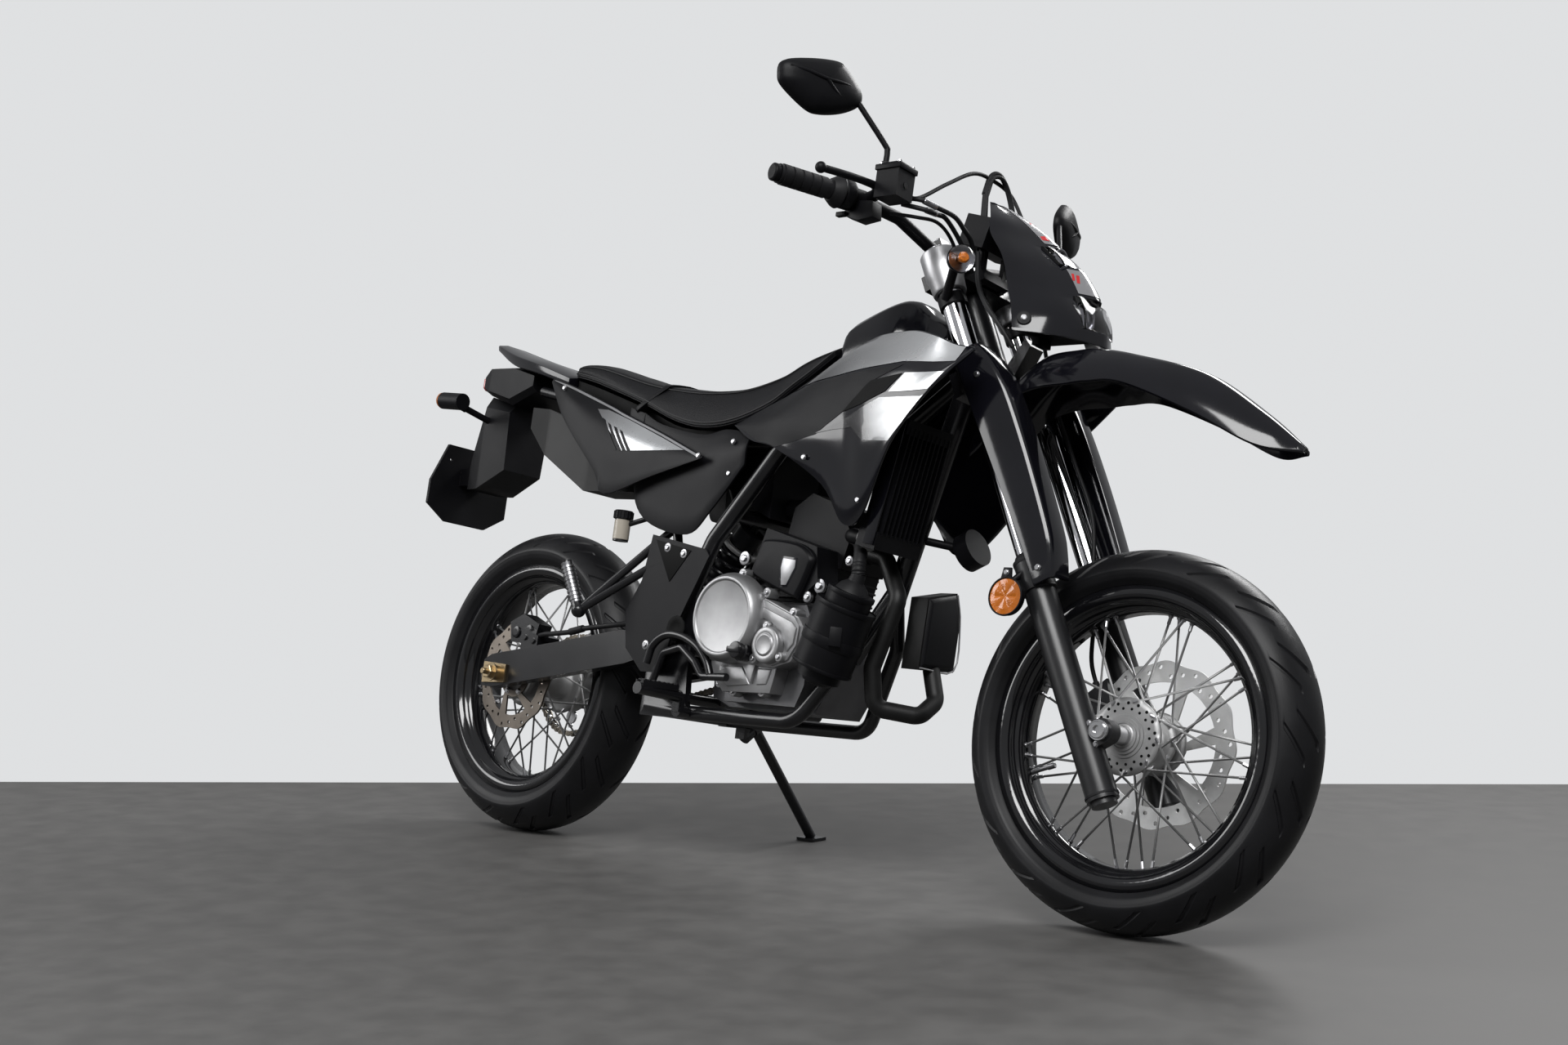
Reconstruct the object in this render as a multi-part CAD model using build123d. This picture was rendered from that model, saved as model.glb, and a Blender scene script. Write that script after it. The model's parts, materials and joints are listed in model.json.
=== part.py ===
from build123d import *
from math import acos, atan2, cos, degrees, hypot, pi, radians, sin, sqrt
import os

# Supermoto motorcycle, parked on its side stand. Millimetres, +X forward, +Y left, +Z up.
# The bike is drawn upright, with x from the rear axle, y from its mid plane, z from the floor.
# Each piece is then steered, leaned over and set down on the floor by placed().

# Driving dimensions
WHEELBASE = 1425.0
RAKE = 26.5
AXLE_OFFSET = 55.556
LEAN = 10.32
STEER_REST = 3.08
SEAT_GAP = 0.3
RUN_GAP = 0.5
SKIN = 4.0

# Rims and spokes, the same on both wheels
FLANGE_R = 232.5
BEAD_R = FLANGE_R - 15.5
WELL_R = FLANGE_R - 29.5
RIM_WALL = 6.0
TYRE_WALL = 9.0
DISC_T = 4.0
SPOKES_PER_SIDE = 18
SPOKE_R = 1.9

# Front wheel
FRONT_TYRE_H = 62.5
FRONT_R = FLANGE_R + FRONT_TYRE_H
FRONT_TYRE_W = 112.0
FRONT_CROWN_R = 60.0
FRONT_RIM_HALF = 43.0
FRONT_AXLE_R = 10.0
FRONT_AXLE_BORE = 6.0
FRONT_HUB_RIGHT = -50.0
FRONT_HUB_LEFT = 60.0
FRONT_DISC_R = 132.0

# Rear wheel
REAR_TYRE_H = 72.5
REAR_R = FLANGE_R + REAR_TYRE_H
REAR_TYRE_W = 137.0
REAR_CROWN_R = 75.0
REAR_RIM_HALF = 56.0
REAR_AXLE_R = 8.5
REAR_HUB_RIGHT = -75.0
REAR_HUB_LEFT = 81.0
REAR_DISC_R = 110.0

# Chain and sprockets
CHAIN_Y = 84.0
CHAIN_PITCH = 12.7
REAR_TEETH = 50
FRONT_TEETH = 14
SPROCKET_T = 5.0
CHAIN_PLATE_IN = 4.5
CHAIN_PLATE_OUT = 8.5
CHAIN_HALF_HEIGHT = 6.0
FRONT_SPROCKET_X = 572.0
FRONT_SPROCKET_Z = 396.0

# Fork
LEG_Y = 100.0
LEG_N = 19.0
SLIDER_R = 25.0
SLIDER_TOP_R = 28.5
STANCHION_R = 20.5
SLIDER_BOTTOM_S = 206.0
SLIDER_TOP_S = 600.0
STANCHION_TOP_S = 1190.0
LOWER_CLAMP_S = (930.0, 975.0)
UPPER_CLAMP_S = (1143.0, 1172.0)
HEAD_TUBE_S = (977.0, 1140.0)
HEAD_TUBE_R = 29.0
STEM_R = 15.0
BAR_R = 11.0
GRIP_R = 16.5
BAR_N = -6.0
BAR_S = 1234.0

# Frame and swingarm
TUBE_R = 16.0
RAIL_R = 13.0
RAIL_Y = 100.0
RAIL_Z = 264.0
PIVOT_X = 470.0
PIVOT_Z = 392.0
PIVOT_R = 8.0
ARM_IN = 96.0
ARM_OUT = 122.0
PLATE_IN = 97.0
PLATE_OUT = 111.0

# Holes for a number plate
PLATE_HOLE_Y = 60.0
PLATE_HOLE_Z = 765.0
PLATE_HOLE_R = 3.25

# Side stand, where it meets the floor and its pivot
STAND_PIVOT = (478.0, 137.0, 258.0)
STAND_FOOT_X = 502.0
STAND_FOOT_Y = 317.0
STAND_R = 10.0

rake = radians(RAKE)
TRAIL = (FRONT_R * sin(rake) - AXLE_OFFSET) / cos(rake)
REAR_AXLE = (0.0, 0.0, REAR_R)
FRONT_AXLE = (WHEELBASE, 0.0, FRONT_R)
STEER_GROUND = Vector(WHEELBASE + TRAIL, 0, 0)
STEER_UP = Vector(-sin(rake), 0, cos(rake))
STEER_FRONT = Vector(cos(rake), 0, sin(rake))
STEER_AXIS = Axis(STEER_GROUND, STEER_UP)
AXLE_N = (Vector(*FRONT_AXLE) - STEER_GROUND).dot(STEER_FRONT)
AXLE_S = (Vector(*FRONT_AXLE) - STEER_GROUND).dot(STEER_UP)


def fork(n, y, s):
    """A point n ahead of the steering axis, y to the left and s up along it."""
    point = STEER_GROUND + STEER_FRONT * n + STEER_UP * s
    return (point.X, y, point.Z)


# Placing: where the upright, straight bike ends up when it is parked
def turn(point, axis_point, axis_dir, angle):
    """Rotate a point about an axis by degrees."""
    k = Vector(*axis_dir).normalized()
    v = Vector(*point) - Vector(*axis_point)
    c, s = cos(radians(angle)), sin(radians(angle))
    return Vector(*axis_point) + v * c + k.cross(v) * s + k * (k.dot(v) * (1 - c))


def tyre_bottom(centre, across, radius, crown):
    return centre.Z - (radius - crown) * sqrt(1 - across.Z ** 2) - crown


def settle():
    """Pitch and lift that set both tyres on the floor."""
    steered_axle = turn(FRONT_AXLE, STEER_GROUND, STEER_UP, STEER_REST)
    steered_across = turn((0, 1, 0), (0, 0, 0), STEER_UP, STEER_REST)
    pitch = 0.0
    for _ in range(20):
        def pose(v):
            pitched = turn(v, (0, 0, 0), (0, 1, 0), pitch)
            return turn(pitched, (0, 0, 0), (1, 0, 0), -LEAN)
        rear = tyre_bottom(pose(REAR_AXLE), pose((0, 1, 0)), REAR_R, REAR_CROWN_R)
        front = tyre_bottom(pose(steered_axle), pose(steered_across), FRONT_R, FRONT_CROWN_R)
        pitch += degrees((front - rear) / WHEELBASE)
    return pitch, -rear


PITCH, LIFT = settle()


def place_point(point, steered=False):
    """The parked place of a point of the upright bike."""
    p = turn(point, STEER_GROUND, STEER_UP, STEER_REST) if steered else Vector(*point)
    p = turn(p, (0, 0, 0), (0, 1, 0), PITCH)
    p = turn(p, (0, 0, 0), (1, 0, 0), -LEAN)
    return p + Vector(0, 0, LIFT)


def place_dir(direction):
    return place_point(direction) - place_point((0, 0, 0))


def upright_point(point):
    """The upright bike's point for a parked place."""
    p = turn(Vector(*point) - Vector(0, 0, LIFT), (0, 0, 0), (1, 0, 0), LEAN)
    return turn(p, (0, 0, 0), (0, 1, 0), -PITCH)


def placed(shape, steered):
    if steered:
        shape = shape.rotate(STEER_AXIS, STEER_REST)
    shape = shape.rotate(Axis.Y, PITCH).rotate(Axis.X, -LEAN)
    return shape.translate(Vector(0, 0, LIFT))


# The stand's pivot line is square to its leg, both as it stands and as it is folded back
STAND_BOSS = 11.0
STAND_FOLDED = Vector(-0.985, 0.10, -0.05)
STAND_LEG = upright_point((STAND_FOOT_X, STAND_FOOT_Y, 6)) - Vector(*STAND_PIVOT)
STAND_AXIS = STAND_LEG.cross(STAND_FOLDED).normalized()


# Shapes
def face_of(points):
    return Face(Wire.make_polygon([Vector(*p) for p in points], close=True))


def side_plate(outline, y0, y1):
    """A side-view outline of (x, z) between two y planes."""
    return Solid.extrude(face_of([(x, y0, z) for x, z in outline]), Vector(0, y1 - y0, 0))


def fork_plate(outline, y0, y1):
    """An outline of (n, s) beside the steering axis between two y planes."""
    return Solid.extrude(face_of([fork(n, y0, s) for n, s in outline]), Vector(0, y1 - y0, 0))


def front_plate(outline, x0, x1):
    """A front-view outline of (y, z) between two x planes."""
    return Solid.extrude(face_of([(x0, y, z) for y, z in outline]), Vector(x1 - x0, 0, 0))


def block(x, y, z):
    return side_plate([(x[0], z[0]), (x[1], z[0]), (x[1], z[1]), (x[0], z[1])], y[0], y[1])


def rod(start, end, radius):
    a, b = Vector(*start), Vector(*end)
    return Solid.make_cylinder(radius, (b - a).length, Plane(origin=a, z_dir=(b - a).normalized()))


def drum(x, z, radius, y0, y1):
    return rod((x, y0, z), (x, y1, z), radius)


def fork_drum(n, y, radius, s0, s1):
    return rod(fork(n, y, s0), fork(n, y, s1), radius)


def tube(points, radius, bend):
    """A round tube along straight runs joined by arcs of one radius."""
    path = FilletPolyline(*[Vector(*p) for p in points], radius=bend)
    start = Vector(*points[0])
    direction = (Vector(*points[1]) - start).normalized()
    section = Face(Wire.make_circle(radius, Plane(origin=start, z_dir=direction)))
    return sweep(section, path=path).solid()


def turned(profile, x, z):
    """A closed profile of (radius, y) turned about the axle line through x, z."""
    face = face_of([(x + r, y, z) for r, y in profile])
    return Solid.revolve(face, 360, Axis((x, 0, z), (0, 1, 0)))


def loft(sections):
    wires = [Wire.make_polygon([Vector(*p) for p in section], close=True) for section in sections]
    return Solid.make_loft(wires, True)


def joined(shapes):
    """Fuse touching shapes to one solid."""
    first, rest = shapes[0], shapes[1:]
    return first.fuse(*rest).clean() if rest else first


def solids_of(shape):
    return list(shape.solids())


def skin(stations, side, wall):
    """A panel: at each x its outer edge points (y, z), and the wall inside them."""
    sections = []
    for x, points in stations:
        outer = [(x, side * y, z) for y, z in points]
        inner = [(x, side * (y - wall), z) for y, z in reversed(points)]
        sections.append(outer + inner)
    return loft(sections)


def arch(stations, wall):
    """A hollow arch: at each x half of its outline (y, z) from the edge up to the crown."""
    sections = []
    for x, half in stations:
        outer = [(x, -y, z) for y, z in half] + [(x, y, z) for y, z in reversed(half[:-1])]
        lowered = [(half[0][0] - wall, half[0][1])] + [(y - wall if y else 0, z - wall) for y, z in half[1:]]
        inner = [(x, -y, z) for y, z in lowered] + [(x, y, z) for y, z in reversed(lowered[:-1])]
        sections.append(outer + inner[::-1])
    return loft(sections)


def hull_block(stations):
    """A closed body: at each x half of its outline (y, z) from the bottom up to the top."""
    sections = []
    for x, half in stations:
        right = [(x, -y, z) for y, z in half]
        left = [(x, y, z) for y, z in reversed(half)]
        sections.append(right + left)
    return loft(sections)


# Wheels
def tyre(x, z, radius, width, crown, rim_half):
    """Tread arc, sidewalls and beads, hollow inside."""
    half = width / 2
    edge_r = radius - crown + sqrt(crown ** 2 - half ** 2)
    wall_crown = crown - TYRE_WALL
    inner_half = half - TYRE_WALL
    inner_edge = radius - crown + sqrt(wall_crown ** 2 - inner_half ** 2)
    bead = rim_half - RIM_WALL - SEAT_GAP
    point = lambda r, y: Vector(x + r, y, z)
    outer = ThreePointArc(point(edge_r, -half), point(radius, 0), point(edge_r, half))
    inner = ThreePointArc(
        point(inner_edge, inner_half), point(radius - TYRE_WALL, 0), point(inner_edge, -inner_half))
    right = Polyline(
        point(inner_edge, -inner_half), point(FLANGE_R, 12 - bead), point(BEAD_R + SEAT_GAP, 12 - bead),
        point(BEAD_R + SEAT_GAP, -bead), point(FLANGE_R + SEAT_GAP, -bead),
        point(FLANGE_R + SEAT_GAP, -rim_half), point(edge_r, -half))
    left = Polyline(
        point(edge_r, half), point(FLANGE_R + SEAT_GAP, rim_half), point(FLANGE_R + SEAT_GAP, bead),
        point(BEAD_R + SEAT_GAP, bead), point(BEAD_R + SEAT_GAP, bead - 12), point(FLANGE_R, bead - 12),
        point(inner_edge, inner_half))
    edges = [*outer.edges(), *left.edges(), *inner.edges(), *right.edges()]
    face = Face(Wire(edges))
    return Solid.revolve(face, 360, Axis((x, 0, z), (0, 1, 0)))


def rim(x, z, half):
    """Flanges, bead seats and drop centre."""
    seat = half - RIM_WALL
    tyre_side = [(FLANGE_R, -half), (FLANGE_R, -seat - SEAT_GAP), (BEAD_R, -seat), (BEAD_R, 15 - half),
                 (WELL_R, 25 - half), (WELL_R, half - 25), (BEAD_R, half - 15), (BEAD_R, seat),
                 (FLANGE_R, seat + SEAT_GAP), (FLANGE_R, half)]
    hub_side = [(BEAD_R - RIM_WALL, half), (BEAD_R - RIM_WALL, half - 12), (WELL_R - RIM_WALL, half - 22),
                (WELL_R - RIM_WALL, 22 - half), (BEAD_R - RIM_WALL, 12 - half), (BEAD_R - RIM_WALL, -half)]
    return turned(tyre_side + hub_side, x, z)


def spoked_hub(x, z, profile, flanges):
    """A turned hub with crossed spokes that end in the rim's holes, joined in one piece."""
    shapes = [turned(profile, x, z)]
    rim_r = WELL_R - RIM_WALL - SEAT_GAP
    for flange_r, flange_y, rim_y, phase in flanges:
        for i in range(SPOKES_PER_SIDE):
            lean_way = 1 if i % 2 else -1
            start_a = radians(360 / SPOKES_PER_SIDE * i + phase)
            end_a = start_a + radians(48 * lean_way)
            side = flange_y + 2.5 * lean_way
            start = (x + flange_r * cos(start_a), side, z + flange_r * sin(start_a))
            end = (x + (rim_r + 3) * cos(end_a), rim_y, z + (rim_r + 3) * sin(end_a))
            shapes.append(rod(start, end, SPOKE_R))
    wheel = joined(shapes)
    limit = drum(x, z, rim_r, -200, 200)
    return wheel.intersect(limit)


def brake_disc(x, z, radius, y, bore):
    """A wavy ring on six arms."""
    ring = drum(x, z, radius, y - DISC_T / 2, y + DISC_T / 2)
    ring = ring - drum(x, z, radius - 32, y - DISC_T, y + DISC_T)
    bites = []
    for i in range(12):
        a = radians(30 * i)
        r = radius + 11
        bites.append(drum(x + r * cos(a), z + r * sin(a), 15, y - DISC_T, y + DISC_T))
    ring = ring - Compound(bites)
    centre = drum(x, z, bore + 14, y - DISC_T / 2, y + DISC_T / 2)
    arms = []
    for i in range(6):
        a = radians(60 * i + 15)
        b = a + radians(14)
        outline = [(bore + 8, a - 0.16), (radius - 28, b - 0.06),
                   (radius - 28, b + 0.06), (bore + 8, a + 0.16)]
        arms.append(side_plate(
            [(x + r * cos(t), z + r * sin(t)) for r, t in outline], y - DISC_T / 2, y + DISC_T / 2))
    disc = joined([ring.solid(), centre, *arms])
    return (disc - drum(x, z, bore, y - DISC_T, y + DISC_T)).solid()


def pitch_radius(teeth):
    return CHAIN_PITCH / (2 * sin(pi / teeth))


def sprocket(x, z, teeth, bore, holes):
    """Teeth that stand between the chain's side plates."""
    root = pitch_radius(teeth) - 4.2
    tip = pitch_radius(teeth) + 2.8
    outline = []
    for i in range(teeth):
        a = 2 * pi * i / teeth
        step = 2 * pi / teeth
        for r, f in ((root, 0.10), (root, 0.30), (tip, 0.56), (tip, 0.84)):
            outline.append((x + r * cos(a + f * step), z + r * sin(a + f * step)))
    y0, y1 = CHAIN_Y - SPROCKET_T / 2, CHAIN_Y + SPROCKET_T / 2
    plate = side_plate(outline, y0, y1) - drum(x, z, bore, y0 - 1, y1 + 1)
    if holes:
        cuts = []
        for i in range(holes):
            a = 2 * pi * (i + 0.5) / holes
            r = (root + bore) / 2 + 4
            cuts.append(drum(x + r * cos(a), z + r * sin(a), 11, y0 - 1, y1 + 1))
        plate = plate - Compound(cuts)
    return plate.solid()


def belt_face(offset, y):
    """The chain's line round both sprockets, moved out by offset, as a face at y."""
    big = pitch_radius(REAR_TEETH) + offset
    small = pitch_radius(FRONT_TEETH) + offset
    dx, dz = FRONT_SPROCKET_X, FRONT_SPROCKET_Z - REAR_R
    reach = hypot(dx, dz)
    slope = atan2(dz, dx)
    open_a = acos((big - small) / reach)
    at = lambda cx, cz, r, a: Vector(cx + r * cos(a), y, cz + r * sin(a))
    up, down = slope + open_a, slope - open_a
    rear_up, rear_down = at(0, REAR_R, big, up), at(0, REAR_R, big, down)
    front_up = at(dx, REAR_R + dz, small, up)
    front_down = at(dx, REAR_R + dz, small, down)
    edges = [
        Edge.make_line(rear_up, front_up),
        Edge.make_three_point_arc(front_up, at(dx, REAR_R + dz, small, slope), front_down),
        Edge.make_line(front_down, rear_down),
        Edge.make_three_point_arc(rear_down, at(0, REAR_R, big, slope + pi), rear_up)]
    return Face(Wire(edges))


def belt(outer, inner, y0, y1):
    whole = Solid.extrude(belt_face(outer, y0), Vector(0, y1 - y0, 0))
    return (whole - Solid.extrude(belt_face(inner, y0 - 1), Vector(0, y1 - y0 + 2, 0))).solid()


def front_wheel():
    x, z = WHEELBASE, FRONT_R
    bore = FRONT_AXLE_R + SEAT_GAP
    right, left = FRONT_HUB_RIGHT, FRONT_HUB_LEFT
    profile = [(bore, right), (19, right), (20, right + 5), (60, right + 8), (60, right + 13),
               (24, right + 20), (22, left - 34), (46, left - 30), (46, left - 25), (28, left - 20),
               (28, left - 7), (50, left - 5), (50, left), (bore, left)]
    flanges = [(54, right + 10.5, -9, 0), (40, left - 27.5, 9, 10)]
    disc_y = left + SEAT_GAP + DISC_T / 2
    return {
        "front_tyre": [tyre(x, z, FRONT_R, FRONT_TYRE_W, FRONT_CROWN_R, FRONT_RIM_HALF)],
        "front_rim": [rim(x, z, FRONT_RIM_HALF)],
        "front_hub": [spoked_hub(x, z, profile, flanges)],
        "front_disc": [brake_disc(x, z, FRONT_DISC_R, disc_y, 34)],
    }


def rear_wheel():
    x, z = 0.0, REAR_R
    bore = REAR_AXLE_R + SEAT_GAP
    right, left = REAR_HUB_RIGHT, REAR_HUB_LEFT
    profile = [(bore, right - 14), (17, right - 14), (17, right), (46, right), (46, right + 6),
               (30, right + 10), (30, right + 22), (58, right + 24), (58, right + 29), (34, right + 36),
               (34, left - 40),
               (62, left - 36), (62, left - 31), (56, left - 24), (56, left), (17, left), (17, left + 9),
               (bore, left + 9)]
    flanges = [(52, right + 26.5, -11, 0), (57, left - 33.5, 11, 10)]
    disc_y = right - SEAT_GAP - DISC_T / 2
    return {
        "rear_tyre": [tyre(x, z, REAR_R, REAR_TYRE_W, REAR_CROWN_R, REAR_RIM_HALF)],
        "rear_rim": [rim(x, z, REAR_RIM_HALF)],
        "rear_hub": [spoked_hub(x, z, profile, flanges)],
        "rear_disc": [brake_disc(x, z, REAR_DISC_R, disc_y, 30)],
        "rear_sprocket": [sprocket(x, z, REAR_TEETH, 30, 6)],
    }


# Steered pieces
def fork_lug(side):
    """The axle lug ahead of a fork leg's foot."""
    y0, y1 = side * 87.0, side * 113.0
    arm = fork_plate([(LEG_N - 10, AXLE_S - 24), (AXLE_N, AXLE_S - 19), (AXLE_N, AXLE_S + 19),
                      (LEG_N - 10, AXLE_S + 34)], y0, y1)
    eye = rod((WHEELBASE, y0, FRONT_R), (WHEELBASE, y1, FRONT_R), 19)
    return arm, eye


def slider(side):
    y = side * LEG_Y
    arm, eye = fork_lug(side)
    leg = fork_drum(LEG_N, y, SLIDER_R, SLIDER_BOTTOM_S, SLIDER_TOP_S)
    collar = fork_drum(LEG_N, y, SLIDER_TOP_R, SLIDER_TOP_S - 48, SLIDER_TOP_S)
    foot = fork_drum(LEG_N, y, SLIDER_R - 5, SLIDER_BOTTOM_S - 8, SLIDER_BOTTOM_S + 2)
    body = joined([leg, collar, foot, arm, eye])
    bore = rod((WHEELBASE, -160, FRONT_R), (WHEELBASE, 160, FRONT_R), FRONT_AXLE_R + SEAT_GAP)
    return (body - bore).solid()


def front_axle():
    """Hollow axle, head, nut and the collars between hub and fork feet."""
    x, z = WHEELBASE, FRONT_R
    lug_in, lug_out = 87.0, 113.0
    shapes = [drum(x, z, FRONT_AXLE_R, -118, 122),
              drum(x, z, 15, -118, -lug_out - SEAT_GAP), drum(x, z, 15, lug_out + SEAT_GAP, 126),
              drum(x, z, 15, -lug_in + SEAT_GAP, FRONT_HUB_RIGHT - SEAT_GAP),
              drum(x, z, 15, FRONT_HUB_LEFT + SEAT_GAP, lug_in - SEAT_GAP)]
    return (joined(shapes) - drum(x, z, FRONT_AXLE_BORE, -130, 130)).solid()


def leg_bores(s0, s1, radius):
    return Compound([fork_drum(LEG_N, side * LEG_Y, radius, s0, s1) for side in (-1, 1)])


def lower_clamp():
    """Bottom clamp with the steering stem, the lamp bracket and the mudguard pad."""
    s0, s1 = LOWER_CLAMP_S
    shapes = [fork_plate([(-28, s0), (40, s0), (40, s1), (-28, s1)], -LEG_Y, LEG_Y),
              fork_drum(LEG_N, -LEG_Y, 28.5, s0, s1), fork_drum(LEG_N, LEG_Y, 28.5, s0, s1),
              fork_drum(0, 0, STEM_R, s1, UPPER_CLAMP_S[1] + 12),
              fork_drum(0, 0, 24, s1 - 1, HEAD_TUBE_S[0] - SEAT_GAP)]
    bracket = side_plate([(1096, 880), (1122, 874), (1150, 930), (1138, 944)], -20, 20)
    pad = side_plate([(1085, 794.6), (1105, 808.6), (1105, 850), (1085, 840)], -12, 12)
    return (joined(shapes + [bracket, pad]) - leg_bores(s0 - 1, s1 + 1, STANCHION_R + SEAT_GAP)).solid()


def upper_clamp():
    """Top clamp with the two risers that hold the handlebar."""
    s0, s1 = UPPER_CLAMP_S
    shapes = [fork_plate([(-26, s0), (40, s0), (40, s1), (-26, s1)], -LEG_Y, LEG_Y)]
    for side in (-1, 1):
        shapes.append(fork_drum(LEG_N, side * LEG_Y, 32, s0, s1 + 12))
        shapes.append(fork_plate([(BAR_N - 15, s1 - 1), (BAR_N + 15, s1 - 1), (BAR_N + 15, BAR_S + 18),
                                  (BAR_N - 15, BAR_S + 18)], side * 32, side * 58))
    clamp = joined(shapes) - leg_bores(s0 - 1, s1 + 20, STANCHION_R + SEAT_GAP)
    clamp = clamp - fork_drum(0, 0, STEM_R + SEAT_GAP, s0 - 1, s1 + 1)
    bar = fork(BAR_N, 0, BAR_S)
    return (clamp - rod((bar[0], -100, bar[2]), (bar[0], 100, bar[2]), BAR_R + SEAT_GAP)).solid()


BAR_MID = fork(BAR_N, 0, BAR_S)
BAR_KNEE = (BAR_MID[0] - 4, 165.0, BAR_MID[2] + 22)
BAR_HAND = (925.0, 262.0, 1131.0)
BAR_END = (880.0, 400.0, 1127.0)


def handlebar(radius=BAR_R):
    half = [BAR_END, BAR_HAND, BAR_KNEE, (BAR_MID[0], 78.0, BAR_MID[2])]
    right = [(x, -y, z) for x, y, z in half]
    return tube(right + half[::-1], radius, 45)


def along_bar(side, start, end):
    """Points on the straight hand run, start and end mm in from its tip."""
    tip = Vector(BAR_END[0], side * BAR_END[1], BAR_END[2])
    root = Vector(BAR_HAND[0], side * BAR_HAND[1], BAR_HAND[2])
    way = (root - tip).normalized()
    return tuple(tip + way * start), tuple(tip + way * end)


def grip(side):
    """Rubber grip, closed over the bar's end, with its inner flange."""
    start, end = along_bar(side, -2.5, 118)
    flange, _ = along_bar(side, 112, 118)
    bore_start, bore_end = along_bar(side, -SEAT_GAP, 130)
    body = joined([rod(start, end, GRIP_R), rod(flange, end, GRIP_R + 6)])
    return (body - rod(bore_start, bore_end, BAR_R + SEAT_GAP)).solid()


MIRROR_SEAT_Z = 1175.0


def bar_control(side):
    """Switch box, lever perch and lever, with the brake reservoir on the right."""
    box_start, box_end = along_bar(side, 118 + SEAT_GAP, 142)
    perch = (931, side * 242, 1131)
    lever = [(951, side * 240, 1136), (984, side * 262, 1138), (982, side * 330, 1133),
             (966, side * 398, 1128)]
    shapes = [rod(box_start, box_end, 20), rod(box_end, perch, 16), tube(lever, 5.5, 12),
              Solid.make_sphere(9, Plane(origin=lever[-1])), rod(perch, (960, side * 243, 1138), 10),
              rod((990, side * 268, 1138), (990, side * 268, MIRROR_SEAT_Z), 9),
              rod((953, side * 243, 1137), (988, side * 265, 1150), 8)]
    if side < 0:
        shapes.append(block((994, 1040), (-292, -248), (1112, 1158)))
    return (joined(shapes) - handlebar(BAR_R + SEAT_GAP)).solid()


def mirror_unit(side):
    """Stem and head; the head's outline is (outboard, up) from its inner edge."""
    stem_line = [(990, side * 268, MIRROR_SEAT_Z + SEAT_GAP), (990, side * 268, 1202),
                 (948, side * 318, 1278)]
    stem = tube(stem_line, 5, 12)
    outline = [(0, 1278), (64, 1237), (144, 1235), (164, 1280), (108, 1307), (47, 1334), (5, 1308)]
    toe = radians(20)
    root = Vector(945, side * 300, 0)
    out = Vector(-sin(toe), side * cos(toe), 0)
    ahead = Vector(cos(toe), side * sin(toe), 0)
    middle = (75, 1280)
    sections = []
    for depth, size in ((0, 1.0), (12, 0.97), (26, 0.55)):
        ring = []
        for w, z in outline:
            ww = middle[0] + (w - middle[0]) * size
            zz = middle[1] + (z - middle[1]) * size
            p = root + out * ww + ahead * depth
            ring.append((p.X, p.Y, zz))
        sections.append(ring)
    return joined([loft(sections), stem])


# Lamp windows: half width, low z, high z
UPPER_LAMP = (34.0, 1062.0, 1100.0)
LOWER_LAMP = (44.0, 946.0, 1004.0)


def front_cowl():
    """Mask over the lamps: at each height its side edge, cheek and nose."""
    rows = [
        # z, x side, y side, x cheek, y cheek, x nose
        (924, 1183, 126, 1250, 76, 1282),
        (965, 1170, 118, 1243, 72, 1277),
        (1010, 1150, 108, 1214, 62, 1257),
        (1064, 1125, 98, 1176, 50, 1216),
        (1113, 1086, 86, 1128, 42, 1160),
        (1150, 1070, 70, 1092, 36, 1112),
        (1188, 1042, 38, 1048, 20, 1052),
    ]
    sections = []
    for z, xs, ys, xc, yc, xn in rows:
        outer = [(xs, -ys, z), (xc, -yc, z), (xn, -8, z), (xn, 8, z), (xc, yc, z), (xs, ys, z)]
        w = SKIN
        inner = [(xs, ys - w, z), (xc - w, yc - w, z), (xn - w, 6, z), (xn - w, -6, z), (xc - w, w - yc, z),
                 (xs, w - ys, z)]
        sections.append(outer + inner)
    shell = loft(sections)
    for half_width, z0, z1 in (UPPER_LAMP, LOWER_LAMP):
        shell = shell - block((1130, 1300), (-half_width, half_width), (z0, z1))
    return shell.solid()


def headlamps():
    """Upper and lower lamp, each a lens block that fills its window."""
    shapes = []
    for (half_width, z0, z1), nose_low, nose_high in ((UPPER_LAMP, 1206, 1166), (LOWER_LAMP, 1268, 1247)):
        y, low, high = half_width - SEAT_GAP, z0 + SEAT_GAP, z1 - SEAT_GAP
        shapes.append(side_plate([(1148, low), (nose_low, low), (nose_high, high), (1148, high)], -y, y))
    bridge = block((1148, 1165), (-20, 20), (1000, 1066))
    foot = side_plate([(1150.5, 932), (1165, 925), (1175, 950), (1152, 950)], -19, 19)
    return joined(shapes + [bridge, foot])


def instrument():
    clamp_front = fork(40 + SEAT_GAP, 0, UPPER_CLAMP_S[0] + 4)
    leg_x = (clamp_front[0] + 1, clamp_front[0] + 9)
    legs = [block(leg_x, (y, y + 10), (clamp_front[2] - 2, 1108)) for y in (-35, 25)]
    face = side_plate([(1000, 1112), (1052, 1098), (1066, 1150), (1014, 1164)], -58, 58)
    n0, s0, s1 = 40 + SEAT_GAP, UPPER_CLAMP_S[0] + 2, UPPER_CLAMP_S[1] - 4
    pad = fork_plate([(n0, s0), (58, s0), (58, s1), (n0, s1)], -38, 38)
    return joined([face, pad, *legs])


def front_indicator(side):
    s0, s1 = 1084.0, 1104.0
    band = fork_drum(LEG_N, side * LEG_Y, 24.5, s0, s1)
    bore = fork_drum(LEG_N, side * LEG_Y, STANCHION_R + SEAT_GAP, s0 - 40, s1 + 40)
    root = fork(LEG_N, side * (LEG_Y + 24), (s0 + s1) / 2)
    stalk = rod(root, (1062, side * 168, 1046), 8)
    pod = rod((1052, side * 170, 1048), (1104, side * 170, 1040), 19)
    return (joined([band, stalk, pod]) - bore).solid()


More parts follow.
